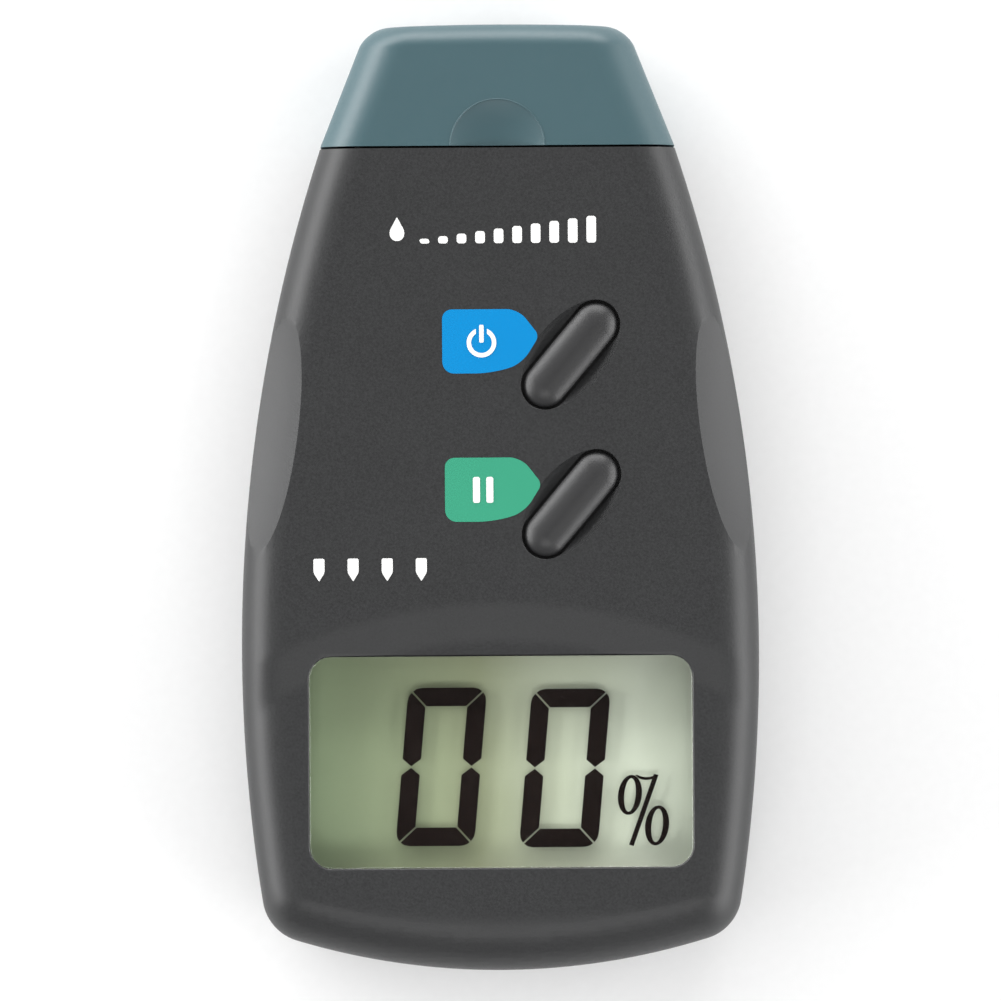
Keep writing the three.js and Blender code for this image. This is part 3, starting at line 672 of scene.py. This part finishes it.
def window_opening(case):
    """Cuts the hole for the display, and rounds its rim a little."""
    carve(case, rounded_slab((0, DISPLAY_Y), WINDOW_SIZE, WINDOW_RADIUS, SEAM_Z - MM, FACE_Z + MM))
    edit(case)
    half = WINDOW_SIZE / 2 + Vector((1, 1)) * 0.01 * MM

    def on_window_rim(e):
        return all(
            abs(v.co.x) < half.x and abs(v.co.y - DISPLAY_Y) < half.y and v.co.z > FACE_Z - 0.01 * MM
            for v in e.verts
        )

    choose("EDGE", on_window_rim)
    bpy.ops.mesh.bevel(offset=0.25 * MM, segments=3, affect="EDGES")
    done()


def key_opening(case, name):
    """Cuts a key's dish and the hole that it moves in."""
    low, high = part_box(name)
    x, y = (low.x + high.x) / 2, (low.y + high.y) / 2
    carve(case, key_dimple(x, y))
    hole = stadium(KEY_REACH, KEY_RADIUS + KEY_CLEARANCE, SEAM_Z, FACE_Z + MM)
    hole.rotation_euler.z = KEY_TILT
    hole.location = (x, y, 0)
    apply_place(hole)
    carve(case, hole)


def front_case():
    """The front half: a shell with a stepped face, finger scoops, and openings for display, keys and pins."""
    case = body_solid(0, SEAM_Z, FACE_Z, EDGE)
    window_opening(case)
    gridded(case, top_y=-11 * MM, pitch=0.7 * MM)
    for vertex in case.data.vertices:
        height = (vertex.co.z - SEAM_Z) / (FACE_Z - SEAM_Z)
        vertex.co.z -= height * face_fall(vertex.co.x, vertex.co.y)
    ceiling = DISH_Z - 1.8 * MM
    carve(case, body_solid(WALL, SEAM_Z - MM, ceiling, EDGE, BODY_TOP_Y - WALL))
    for side in (1, -1):
        carve(case, finger_scoop(side))
    for name in ("power_button", "hold_button"):
        key_opening(case, name)
    carve(case, head_opening())
    merge_slivers(case)
    smooth(case, 20)
    return finish_piece(case, "front_case", "housing", CASE_ABS, ["front_shell"])


def door_slide(grow, length):
    """The battery door's cross-section: a narrow outer step under a wider tongue."""
    low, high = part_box("battery_door")
    lip = MM
    step, wide = low.z + lip, high.x + grow
    start, end = HEEL_Y - length, high.y + grow
    piece = block((lip - wide, start, low.z - 2 * grow), (wide - lip, end, step + grow))
    carve(piece, block((-wide, start, step - grow), (wide, end, high.z + grow)), "UNION")
    return piece


def slide_bed():
    """The thicker floor at the lower end of the rear case, which the door's slide is cut into."""
    inset, low, high, end_y = 3 * MM, 1.8 * MM, 4 * MM, -16.6 * MM
    bed = body_solid(inset, low, high, rounded=-4 * MM)
    carve(bed, block((-HALF_WIDTH, end_y, 0), (HALF_WIDTH, BODY_TOP_Y + MM, SEAM_Z)))
    return bed


def screw_centres():
    """Where the case screws stand, in plan."""
    screws = [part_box(name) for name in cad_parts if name.startswith("case_screw")]
    return [((low.x + high.x) / 2, (low.y + high.y) / 2) for low, high in screws]


def rear_case():
    """The back half: a shell with screw bosses, the door's slide, and room for the battery and the label."""
    top = SEAM_Z - SEAM_GAP
    boss_radius, boss_low, boss_high = 4.2 * MM, 1.8 * MM, 8 * MM
    head_radius, head_depth, thread_radius = 2.9 * MM, 2.6 * MM, 1.5 * MM
    case = body_solid(0, 0, top, -EDGE)
    carve(case, body_solid(WALL, WALL, top + MM, -EDGE, BODY_TOP_Y - WALL))
    carve(case, slide_bed(), "UNION")
    for centre in screw_centres():
        carve(case, cylinder(centre, boss_radius, boss_low, boss_high), "UNION")
    carve(case, door_slide(DOOR_GAP, 4 * MM))
    for centre in screw_centres():
        carve(case, cylinder(centre, head_radius, -MM, head_depth))
        carve(case, cylinder(centre, thread_radius, MM, boss_high + MM))
    low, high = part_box("battery_can")
    room = Vector((0.6 * MM, 0.6 * MM, 1.2 * MM))
    carve(case, block(low - room, high + room))
    low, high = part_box("rear_label")
    room = 0.3 * MM
    carve(case, block(low - Vector((room, room, MM)), high + Vector((room, room, 0))))
    carve(case, head_opening())
    merge_slivers(case)
    smooth(case, 20)
    return finish_piece(case, "rear_case", "housing", CASE_ABS, ["rear_shell"])


def battery_cover():
    """The sliding battery door, cut from the same rounded outline as the case, with grip grooves."""
    grooves, first_y, pitch = 6, -25.5 * MM, 1.9 * MM
    groove_size, groove_round, groove_depth = (16 * MM, MM), 0.45 * MM, 0.5 * MM
    cover = door_slide(0, MM)
    carve(cover, body_solid(0, 0, EDGE + MM, -EDGE), "INTERSECT")
    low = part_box("battery_door")[0]
    for n in range(grooves):
        centre = (0, first_y - pitch * n)
        carve(cover, rounded_slab(centre, groove_size, groove_round, low.z - MM, low.z + groove_depth, 6))
    round_edges(cover, 0.15 * MM, 50)
    smooth(cover, 30)
    return finish_piece(cover, "battery_cover", "battery_door", CASE_ABS, ["battery_door"])


front_case()
rear_case()
battery_cover()


# ------------------------------------------------------------------ pin head
def along_y(centre, radius, start, end, vertices=48):
    """A cylinder that points to the pins."""
    piece = cylinder((0, 0), radius, start, end, vertices)
    piece.rotation_euler.x = math.radians(-90)
    piece.location = (centre.x, 0, centre.z)
    apply_place(piece)
    return piece


def pin_places():
    """The middle of each pin."""
    boxes = [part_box("pin_%d" % n) for n in range(1, 5)]
    return [(low + high) / 2 for low, high in boxes]


def head_block():
    """The black block that holds the pins: a rounded box, tapered a little, with a flange inside the case."""
    low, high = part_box("pin_block")
    start, overlap = BODY_TOP_Y - 2.5 * MM, 0.2 * MM
    taper, side_round, end_round = 0.93, 1.2 * MM, 0.5 * MM
    bore = SOCKET_RADIUS + 0.25 * MM
    half, upright = HEAD_HALF_WIDTH, HEAD_HALF_HEIGHT
    piece = block((-half, start, MID_Z - upright), (half, high.y, MID_Z + upright))
    edit(piece)
    choose("FACE", lambda f: f.normal.y > 0.9)
    bpy.ops.transform.resize(value=(taper, 1, taper), center_override=(0, high.y, MID_Z))
    choose("EDGE", lambda e: abs(e.verts[0].co.y - e.verts[1].co.y) > (high.y - start) / 2)
    bpy.ops.mesh.bevel(offset=side_round, segments=6, affect="EDGES")
    choose("FACE", lambda f: f.normal.y > 0.9)
    bpy.ops.mesh.region_to_loop()
    bpy.ops.mesh.bevel(offset=end_round, segments=4, affect="EDGES")
    done()
    carve(piece, block(low, (high.x, start + overlap, high.z)), "UNION")
    for centre in pin_places():
        carve(piece, along_y(centre, bore, low.y - MM, high.y + MM))
    smooth(piece, 30)
    return finish_piece(piece, "head_block", "housing", BLACK_ABS, ["pin_block"])


def contact_pin(number, centre):
    """A pointed steel pin with a hexagon nut."""
    name = "pin_%d" % number
    low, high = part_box(name)
    thread_radius, shaft_radius, tip_radius, nut_radius = 1.25 * MM, 0.95 * MM, 0.1 * MM, 2.2 * MM
    nut_start, nut_end = BODY_TOP_Y + 6.3 * MM, BODY_TOP_Y + 7.6 * MM
    thread_end, point_start = BODY_TOP_Y + 6.6 * MM, BODY_TOP_Y + 10.6 * MM
    overlap = 0.1 * MM
    pin = along_y(centre, thread_radius, low.y, thread_end)
    shaft = along_y(centre, shaft_radius, thread_end - overlap, point_start)
    point = fresh(
        bpy.ops.mesh.primitive_cone_add,
        vertices=48,
        radius1=shaft_radius,
        radius2=tip_radius,
        depth=high.y - point_start,
        location=(centre.x, (high.y + point_start) / 2, centre.z),
        rotation=(math.radians(-90), 0, 0),
    )
    apply_place(point)
    nut = along_y(centre, nut_radius, nut_start, nut_end, vertices=6)
    round_edges(nut, 0.12 * MM)
    for part in (shaft, nut):
        carve(pin, part, "UNION")
    pin = join([pin, point])
    smooth(pin, 30)
    return finish_piece(pin, "contact_pin_%d" % number, "housing", STEEL, [name])


def brass_socket(number, centre):
    """The threaded socket that a pin is screwed into: a tube, closed at its inner end."""
    name = "pin_socket_%d" % number
    low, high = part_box(name)
    bore, closed_end = 1.5 * MM, 1.8 * MM
    socket = along_y(centre, SOCKET_RADIUS, low.y, high.y)
    carve(socket, along_y(centre, bore, low.y + closed_end, high.y + MM))
    round_edges(socket, 0.15 * MM)
    smooth(socket, 30)
    return finish_piece(socket, "brass_socket_%d" % number, "housing", BRASS, [name])


head_block()
for index, place in enumerate(pin_places(), start=1):
    contact_pin(index, place)
    brass_socket(index, place)


# ------------------------------------------------------------------ cap
def cap_solid(inset, start_y):
    """The cap's form, outside or inset: a tapered box with a slightly bowed end, rounded at sides and end."""
    low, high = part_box("pin_cap")
    length = high.y - low.y
    bow, side_round = 0.4 * MM, 5.6 * MM
    strip = 0.155 * high.x
    piece = block(low + Vector((inset, 0, inset)), high - Vector((inset, inset, inset)))
    edit(piece, "FACE")
    for n in range(-4, 5):  # strips for the bow, none of which reaches the rounded sides
        bpy.ops.mesh.select_all(action="SELECT")
        bpy.ops.mesh.bisect(plane_co=(strip * n, 0, 0), plane_no=(1, 0, 0))
    choose("FACE", lambda f: f.normal.y > 0.9)
    end = high - inset * Vector((1, 1, 1))
    across = end.x - CAP_TAPER * (length - inset)
    upright = (end.z - MID_Z) - CAP_SLOPE * (length - inset)
    ratio = (across / end.x, 1, upright / (end.z - MID_Z))
    bpy.ops.transform.resize(value=ratio, center_override=(0, end.y, MID_Z))
    done()
    for vertex in piece.data.vertices:
        if vertex.co.y > end.y - 0.01 * MM:
            vertex.co.y -= bow * (vertex.co.x / across) ** 2
    edit(piece, "EDGE")
    choose("EDGE", lambda e: abs(e.verts[0].co.y - e.verts[1].co.y) > length / 2 and e.calc_face_angle() > 1)
    bpy.ops.mesh.bevel(offset=side_round - inset, segments=14, affect="EDGES")
    choose("FACE", lambda f: f.normal.y > 0.9)
    bpy.ops.mesh.region_to_loop()
    end_round = CAP_END_ROUND - 0.6 * inset  # the hollow stays well rounded
    bpy.ops.mesh.bevel(offset=end_round, segments=12, affect="EDGES")
    if start_y < low.y:
        choose("FACE", lambda f: f.normal.y < -0.9)
        extrude(y=start_y - low.y)
    done()
    return piece


def thumb_scoop():
    """A ball that cuts half of a circle out of the cap's front, at its open edge."""
    ball = 17 * MM
    off = math.sqrt(ball**2 - SCOOP_CIRCLE**2)
    tilt = math.atan(CAP_SLOPE)
    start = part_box("pin_cap")[0].y
    return fresh(
        bpy.ops.mesh.primitive_uv_sphere_add,
        segments=192,
        ring_count=96,
        radius=ball,
        location=(0, start + off * math.sin(tilt), FACE_Z + off * math.cos(tilt)),
    )


def scoop_bead():
    """The fine raised line that the mould leaves round the scoop."""
    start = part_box("pin_cap")[0].y
    bead = fresh(
        bpy.ops.mesh.primitive_torus_add,
        major_segments=144,
        minor_segments=12,
        major_radius=SCOOP_CIRCLE,
        minor_radius=0.1 * MM,
        location=(0, start, FACE_Z),
        rotation=(-math.atan(CAP_SLOPE), 0, 0),
    )
    reach = SCOOP_CIRCLE + MM
    carve(bead, block((-reach, start - reach, FACE_Z - 2 * MM), (reach, start, FACE_Z + 2 * MM)))
    return bead


def pin_cap():
    """The pull-off cap: a hollow tapered box, open to the case, with a thumb scoop in its front."""
    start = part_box("pin_cap")[0].y
    cap = cap_solid(0, start)
    carve(cap, cap_solid(CAP_WALL, start - 2 * MM))
    carve(cap, thumb_scoop())
    carve(cap, scoop_bead(), "UNION")
    merge_slivers(cap, 0.005 * MM)
    smooth(cap, 14)
    return finish_piece(cap, "blue_grey_cap", "pin_cap", CAP_PLASTIC, ["pin_cap"])


pin_cap()


# ------------------------------------------------------------------ keys
def key_dome(top):
    """A sphere with its poles along X, whose halves are moved apart: the keys' rounded top."""
    piece = fresh(bpy.ops.mesh.primitive_uv_sphere_add, segments=96, ring_count=49, radius=KEY_CROWN)
    piece.rotation_euler.y = math.radians(90)
    piece.location.z = top - KEY_CROWN
    apply_place(piece)
    edit(piece)
    for side in (1, -1):
        choose("VERT", lambda v: side * v.co.x > 0)
        move(x=side * KEY_REACH)
    done()
    return piece


def key(name, body):
    """A key: a slot-shaped post under a long rounded dome, with a flange that holds it in the case."""
    low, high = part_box(name)
    rim, thickness = MM, 0.6 * MM
    piece = stadium(KEY_REACH, KEY_RADIUS, low.z + thickness / 2, high.z + MM)
    carve(piece, key_dome(high.z), "INTERSECT")
    flange = stadium(KEY_REACH, KEY_RADIUS + rim, low.z, low.z + thickness)
    carve(piece, flange, "UNION")
    piece.rotation_euler.z = KEY_TILT
    piece.location = ((low.x + high.x) / 2, (low.y + high.y) / 2, 0)
    smooth(piece, 25)
    return finish_piece(piece, name.split("_")[0] + "_key", body, KEY_ABS, [name])


key("power_button", "power_key")
key("hold_button", "hold_key")


# ------------------------------------------------------------------ display
def window():
    """The clear pane: a pad that fills the opening, with a slim rounded rim and a flange below the face."""
    low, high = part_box("display_window")
    centre = (0, DISPLAY_Y)
    pad_size = WINDOW_SIZE - Vector((1, 1)) * 2 * WINDOW_GAP
    pad = rounded_slab(centre, pad_size, WINDOW_RADIUS - WINDOW_GAP, low.z, high.z)
    edit(pad)
    choose("FACE", lambda f: f.normal.z > 0.9)
    bpy.ops.mesh.region_to_loop()
    bpy.ops.mesh.bevel(offset=0.1 * MM, segments=2, affect="EDGES")
    done()
    flange_size, thickness = (high.x - low.x, high.y - low.y), 0.6 * MM
    carve(pad, rounded_slab(centre, flange_size, 2 * MM, low.z, low.z + thickness, 6), "UNION")
    smooth(pad, 30)
    return finish_piece(pad, "window_pane", "housing", ACRYLIC, ["display_window"])


window()

# The figures lie in the thin gap under the front glass.
SEGMENT_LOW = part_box("lcd_front_glass")[0].z - 0.055 * MM
SEGMENT_HIGH = SEGMENT_LOW + 0.05 * MM
STROKE = 2.5 * MM
SLANT = math.tan(math.radians(5.1))


def lean(piece, about_y):
    """Leans a flat piece to the right, as display figures are."""
    for vertex in piece.data.vertices:
        vertex.co.x += (vertex.co.y - about_y) * SLANT


def segment_zero(x, y):
    """A nought of six segments: a rounded frame, cut apart by thin mitres and by notches half way up."""
    width, height, corner = 10.65 * MM, 21.4 * MM, 1.9 * MM
    mitre_width, mitre_reach = 0.22 * MM, 2.4 * MM
    notch_size, notch_offset = 2 * MM, 1.88 * MM
    figure = rounded_slab((0, 0), (width, height), corner, SEGMENT_LOW, SEGMENT_HIGH, segments=4)
    inner = Vector((width - 2 * STROKE, height - 2 * STROKE))
    deep = (SEGMENT_LOW - MM, SEGMENT_HIGH + MM)
    carve(figure, block((*(-inner / 2), deep[0]), (*(inner / 2), deep[1])))
    for sx in (1, -1):
        for sy in (1, -1):
            half = Vector((mitre_reach, mitre_width / 2))
            mitre = block((*-half, deep[0]), (*half, deep[1]))
            mitre.rotation_euler.z = math.atan2(sy, sx)
            mitre.location = (sx * (width - STROKE) / 2, sy * (height - STROKE) / 2, 0)
            apply_place(mitre)
            carve(figure, mitre)
        for away in (1, -1):
            notch = cylinder((0, 0), notch_size, *deep, vertices=4)
            notch.scale = (1, 0.8, 1)
            notch.location = (sx * (width - STROKE) / 2 + away * notch_offset, 0, 0)
            apply_place(notch)
            carve(figure, notch)
    figure.location = (x, y, 0)
    apply_place(figure)
    lean(figure, y)
    return figure


def ring(x, y, radii, bore, low, high):
    """An upright oval ring with a rounder, narrower bore."""
    piece = cylinder((0, 0), 1, low, high)
    piece.scale = (radii[0], radii[1], 1)
    hole = cylinder((0, 0), 1, low - MM, high + MM)
    hole.scale = (bore[0], bore[1], 1)
    for part in (piece, hole):
        part.location.x, part.location.y = x, y
        apply_place(part)
    carve(piece, hole)
    return piece


def percent_sign(x, y):
    """Two oval rings, thick at their sides, a slanted stroke, and a sagging link between their tops."""
    thick = (SEGMENT_LOW, SEGMENT_HIGH)
    outer, bore = (1.62 * MM, 2.7 * MM), (0.78 * MM, 2.25 * MM)
    link_outer, link_bore = (1.75 * MM, 1.25 * MM), (1.6 * MM, 0.85 * MM)
    link = ring(x - 0.4 * MM, y + 5.15 * MM, link_outer, link_bore, *thick)
    above = block((x - 3 * MM, y + 4.6 * MM, thick[0] - MM), (x + 3 * MM, y + 7 * MM, thick[1] + MM))
    carve(link, above)
    half_width, half_length = 0.33 * MM, 4.95 * MM
    stroke = block((-half_width, -half_length, thick[0]), (half_width, half_length, thick[1]))
    stroke.rotation_euler.z = math.radians(-15)
    stroke.location = (x - 0.41 * MM, y - 0.14 * MM, 0)
    apply_place(stroke)
    parts = [
        ring(x - 2.45 * MM, y + 1.9 * MM, outer, bore, *thick),
        ring(x + 1.56 * MM, y - 2.25 * MM, outer, bore, *thick),
        stroke,
        link,
    ]
    sign = parts[0]
    for part in parts[1:]:
        carve(sign, part, "UNION")
    lean(sign, y)
    return sign


def display_figures():
    """Two noughts and a percent sign, as one piece."""
    parts = [
        segment_zero(-8.1 * MM, DISPLAY_Y - 0.65 * MM),
        segment_zero(8.6 * MM, DISPLAY_Y - 0.9 * MM),
        percent_sign(19.65 * MM, DISPLAY_Y - 6.5 * MM),
    ]
    figures = join(parts)
    return finish_piece(figures, "display_figures", "housing", SEGMENT_INK)


display_figures()


# ------------------------------------------------------------------ printing on the case
PRINT = 0.04 * MM  # how thick the ink is drawn


def printed(points, corners, level):
    """A printed patch from an outline in millimetres, rounded at each corner by its own radius."""
    piece = fresh(bpy.ops.mesh.primitive_circle_add, vertices=len(points), radius=MM, fill_type="NGON")
    for vertex, (x, y) in zip(piece.data.vertices, points):
        vertex.co = (x * MM, y * MM, level)
    edit(piece)
    for (x, y), radius in zip(points, corners):
        at = Vector((x * MM, y * MM, level))
        choose("VERT", lambda v: (v.co - at).length < 0.05 * MM)
        bpy.ops.mesh.bevel(offset=radius * MM, segments=8, affect="VERTICES")
    bpy.ops.mesh.select_all(action="SELECT")
    extrude(z=PRINT)
    bpy.ops.mesh.select_all(action="SELECT")
    bpy.ops.mesh.normals_make_consistent(inside=False)
    done()
    return piece


# A flag's outline round its own place, and the radius of each corner, in millimetres.
FLAG = [(-7.6, 4.3), (2.7, 4.3), (5.5, 0.7), (3.2, -3.0), (-0.6, -4.35), (-7.6, -4.35)]
FLAG_CORNERS = [1.3, 1.6, 0.8, 1.6, 2.4, 1.6]


def flag(name, x, y, ink):
    """A coloured flag that points to its key."""
    piece = printed([(px + x, py + y) for px, py in FLAG], FLAG_CORNERS, FACE_Z)
    return finish_piece(piece, name, "housing", ink)


flag("power_flag", 0, 21.1, BLUE_INK)
flag("hold_flag", 0.25, 1.1, GREEN_INK)

OVER_FLAG = FACE_Z + PRINT + 0.01 * MM  # the level of the white on the flags


def bar(x, y, width, height, level):
    """A printed upright bar, round at its corners, that stands on the given place."""
    left, right, top = x - width / 2, x + width / 2, y + height
    points = [(left, y), (left, top), (right, top), (right, y)]
    return printed(points, [0.3 * width] * 4, level)


def level_scale():
    """A drop beside a row of bars that grow: how wet the material is."""
    x, y, height = -13.6, 34.3, 3.6
    bars, first_x, pitch, width = 10, -9.9, 2.5, 1.3
    outline = [(x, y), (x - 1.3, y + 1.2), (x, y + height), (x + 1.3, y + 1.2)]
    parts = [printed(outline, [0.9, 1.0, 0.1, 1.0], FACE_Z)]
    for n in range(bars):
        parts.append(bar(first_x + pitch * n, y, width, height * (n + 2) / (bars + 1), FACE_Z))
    return finish_piece(join(parts), "level_scale", "housing", WHITE_INK)


def power_symbol():
    """The usual broken ring with a stroke through its gap."""
    x, y, radius, stroke, half_gap, length = -2.3, 20.9, 2.0, 0.6, 0.75, 2.4
    outer, bore = [radius * MM] * 2, [(radius - stroke) * MM] * 2
    band = ring(x * MM, y * MM, outer, bore, OVER_FLAG, OVER_FLAG + PRINT)
    left, right, above = (x - half_gap) * MM, (x + half_gap) * MM, (y + 1.5 * radius) * MM
    carve(band, block((left, y * MM, FACE_Z), (right, above, FACE_Z + MM)))
    parts = [band, bar(x, y, stroke, length, OVER_FLAG)]
    return finish_piece(join(parts), "power_symbol", "housing", WHITE_INK)


def hold_symbol():
    """Two bars, as on a pause key."""
    y, width, height = -0.7, 0.95, 3.5
    parts = [bar(x, y, width, height, OVER_FLAG) for x in (-3.1, -1.3)]
    return finish_piece(join(parts), "hold_symbol", "housing", WHITE_INK)


def contact_symbol():
    """Four contact pins side by side, points down."""
    first_x, tip, pitch, half = -24.4, -11.2, 4.6, 0.75
    shoulder, top = tip + 1.2, tip + 3.1
    parts = []
    for pin in range(4):
        x = first_x + pitch * pin
        outline = [(x, tip), (x - half, shoulder), (x - half, top), (x + half, top), (x + half, shoulder)]
        parts.append(printed(outline, [0.15, 0.3, 0.25, 0.25, 0.3], FACE_Z))
    return finish_piece(join(parts), "contact_symbol", "housing", WHITE_INK)


level_scale()
power_symbol()
hold_symbol()
contact_symbol()

# ------------------------------------------------------------------ finishes of the CAD pieces
KEPT = {
    "rear_label": polyester_label(),
    "lcd_polariser": GLASS,
    "lcd_front_glass": GLASS,
    "lcd_rear_glass": GLASS,
    "lcd_reflector": REFLECTOR,
    "lcd_frame": BLACK_ABS,
    "main_board": BOARD,
    "crystal": STEEL,
    "battery_can": JACKET,
    "battery_positive_stud": STEEL,
    "battery_negative_stud": STEEL,
    "battery_clip": BLACK_ABS,
    "battery_pad": foam(),
    "battery_lead_red": pvc("red PVC insulation", "#a8211b", "#b8281f"),
    "battery_lead_black": pvc("black PVC insulation", "#141414", "#1b1b1b"),
}
BY_START = {
    "zebra_strip": silicone(),
    "clip_socket": STEEL,
    "case_screw": DARK_STEEL,
    "board_screw": STEEL,
    "pin_lead": pvc("white PVC insulation", "#cfcfca", "#dcdcd6"),
}


def kept_finish(name):
    """The material of a CAD piece that stays: its own, or its family's, or that of the chips and switches."""
    if name in KEPT:
        return KEPT[name]
    for start, material in BY_START.items():
        if name.startswith(start):
            return material
    return EPOXY


for name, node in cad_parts.items():
    node.data.materials.clear()
    node.data.materials.append(kept_finish(name))

# ------------------------------------------------------------------ floor, light and camera
scene = bpy.context.scene
scene.view_settings.view_transform = "Standard"


def paper_floor():
    """A wide sweep of matt white paper, just under the meter."""
    floor = fresh(bpy.ops.mesh.primitive_plane_add, size=6, location=(0, 0, -0.02 * MM))
    floor.name = "floor"
    paper = new_material("white paper sweep")
    fibres = speckle(paper, 1.5 * MM)
    shader = add_node(
        paper,
        "ShaderNodeBsdfPrincipled",
        {"Base Color": tinted(paper, fibres.outputs["Fac"], "#f0f0f0", "#f4f4f4"), "Roughness": 0.9},
    )
    output(paper, shader.outputs["BSDF"])
    floor.data.materials.append(paper)


# The sine of each height above the horizon, and the brightness there.
SKY = [(0.0, 0.5), (0.45, 0.35), (0.8, 0.4), (0.9, 0.75), (0.975, 0.75), (0.99, 0.03)]


def grey(brightness):
    return (brightness, brightness, brightness, 1.0)


def studio_sky():
    """A white studio: dark straight above, where the camera is, bright round it, and dimmer lower down."""
    world = bpy.data.worlds.new("studio")
    world.use_nodes = True
    world.node_tree.nodes.clear()
    direction = add_node(world, "ShaderNodeTexCoord")
    axes = add_node(world, "ShaderNodeSeparateXYZ", {"Vector": direction.outputs["Generated"]})
    ramp = add_node(world, "ShaderNodeValToRGB", {"Fac": axes.outputs["Z"]})
    stops = ramp.color_ramp.elements
    stops[0].position, stops[0].color = SKY[0][0], grey(SKY[0][1])
    stops[1].position, stops[1].color = SKY[-1][0], grey(SKY[-1][1])
    for height, brightness in SKY[1:-1]:
        stops.new(height).color = grey(brightness)
    light = add_node(world, "ShaderNodeBackground", {"Color": ramp.outputs["Color"], "Strength": 1.0})
    add_node(world, "ShaderNodeOutputWorld", {"Surface": light.outputs["Background"]})
    return world


paper_floor()
scene.world = studio_sky()


def softbox(place, size, power):
    """A soft lamp that points at the middle of the meter."""
    bpy.ops.object.select_all(action="DESELECT")
    bpy.ops.object.light_add(type="AREA", location=place)
    lamp = bpy.context.object
    lamp.data.shape = "RECTANGLE"
    lamp.data.size, lamp.data.size_y = size
    lamp.data.energy = power
    lamp.rotation_euler = (-Vector(place)).to_track_quat("-Z", "Y").to_euler()
    return lamp


softbox((-1.0, 0.3, 0.32), (1.9, 0.6), 21)
softbox((1.0, -0.15, 0.32), (1.6, 0.6), 14)
softbox((0.0, 1.0, 0.3), (1.2, 0.6), 11)
softbox((0.0, -1.1, 1.5), (1.2, 0.6), 7)

CAMERA_HEIGHT = 1.6
SENSOR = 36 * MM
AIM = (0.13 * MM, -0.4 * MM)
ROLL = math.radians(-0.37)
VIEW_WIDTH = 136.2 * MM  # what the picture spans at the middle of the meter's thickness
bpy.ops.object.select_all(action="DESELECT")
bpy.ops.object.camera_add(location=(*AIM, CAMERA_HEIGHT), rotation=(0, 0, ROLL))
camera = bpy.context.object
camera.data.sensor_width = SENSOR / MM
camera.data.lens = (CAMERA_HEIGHT - MID_Z) * SENSOR / VIEW_WIDTH / MM
scene.camera = camera
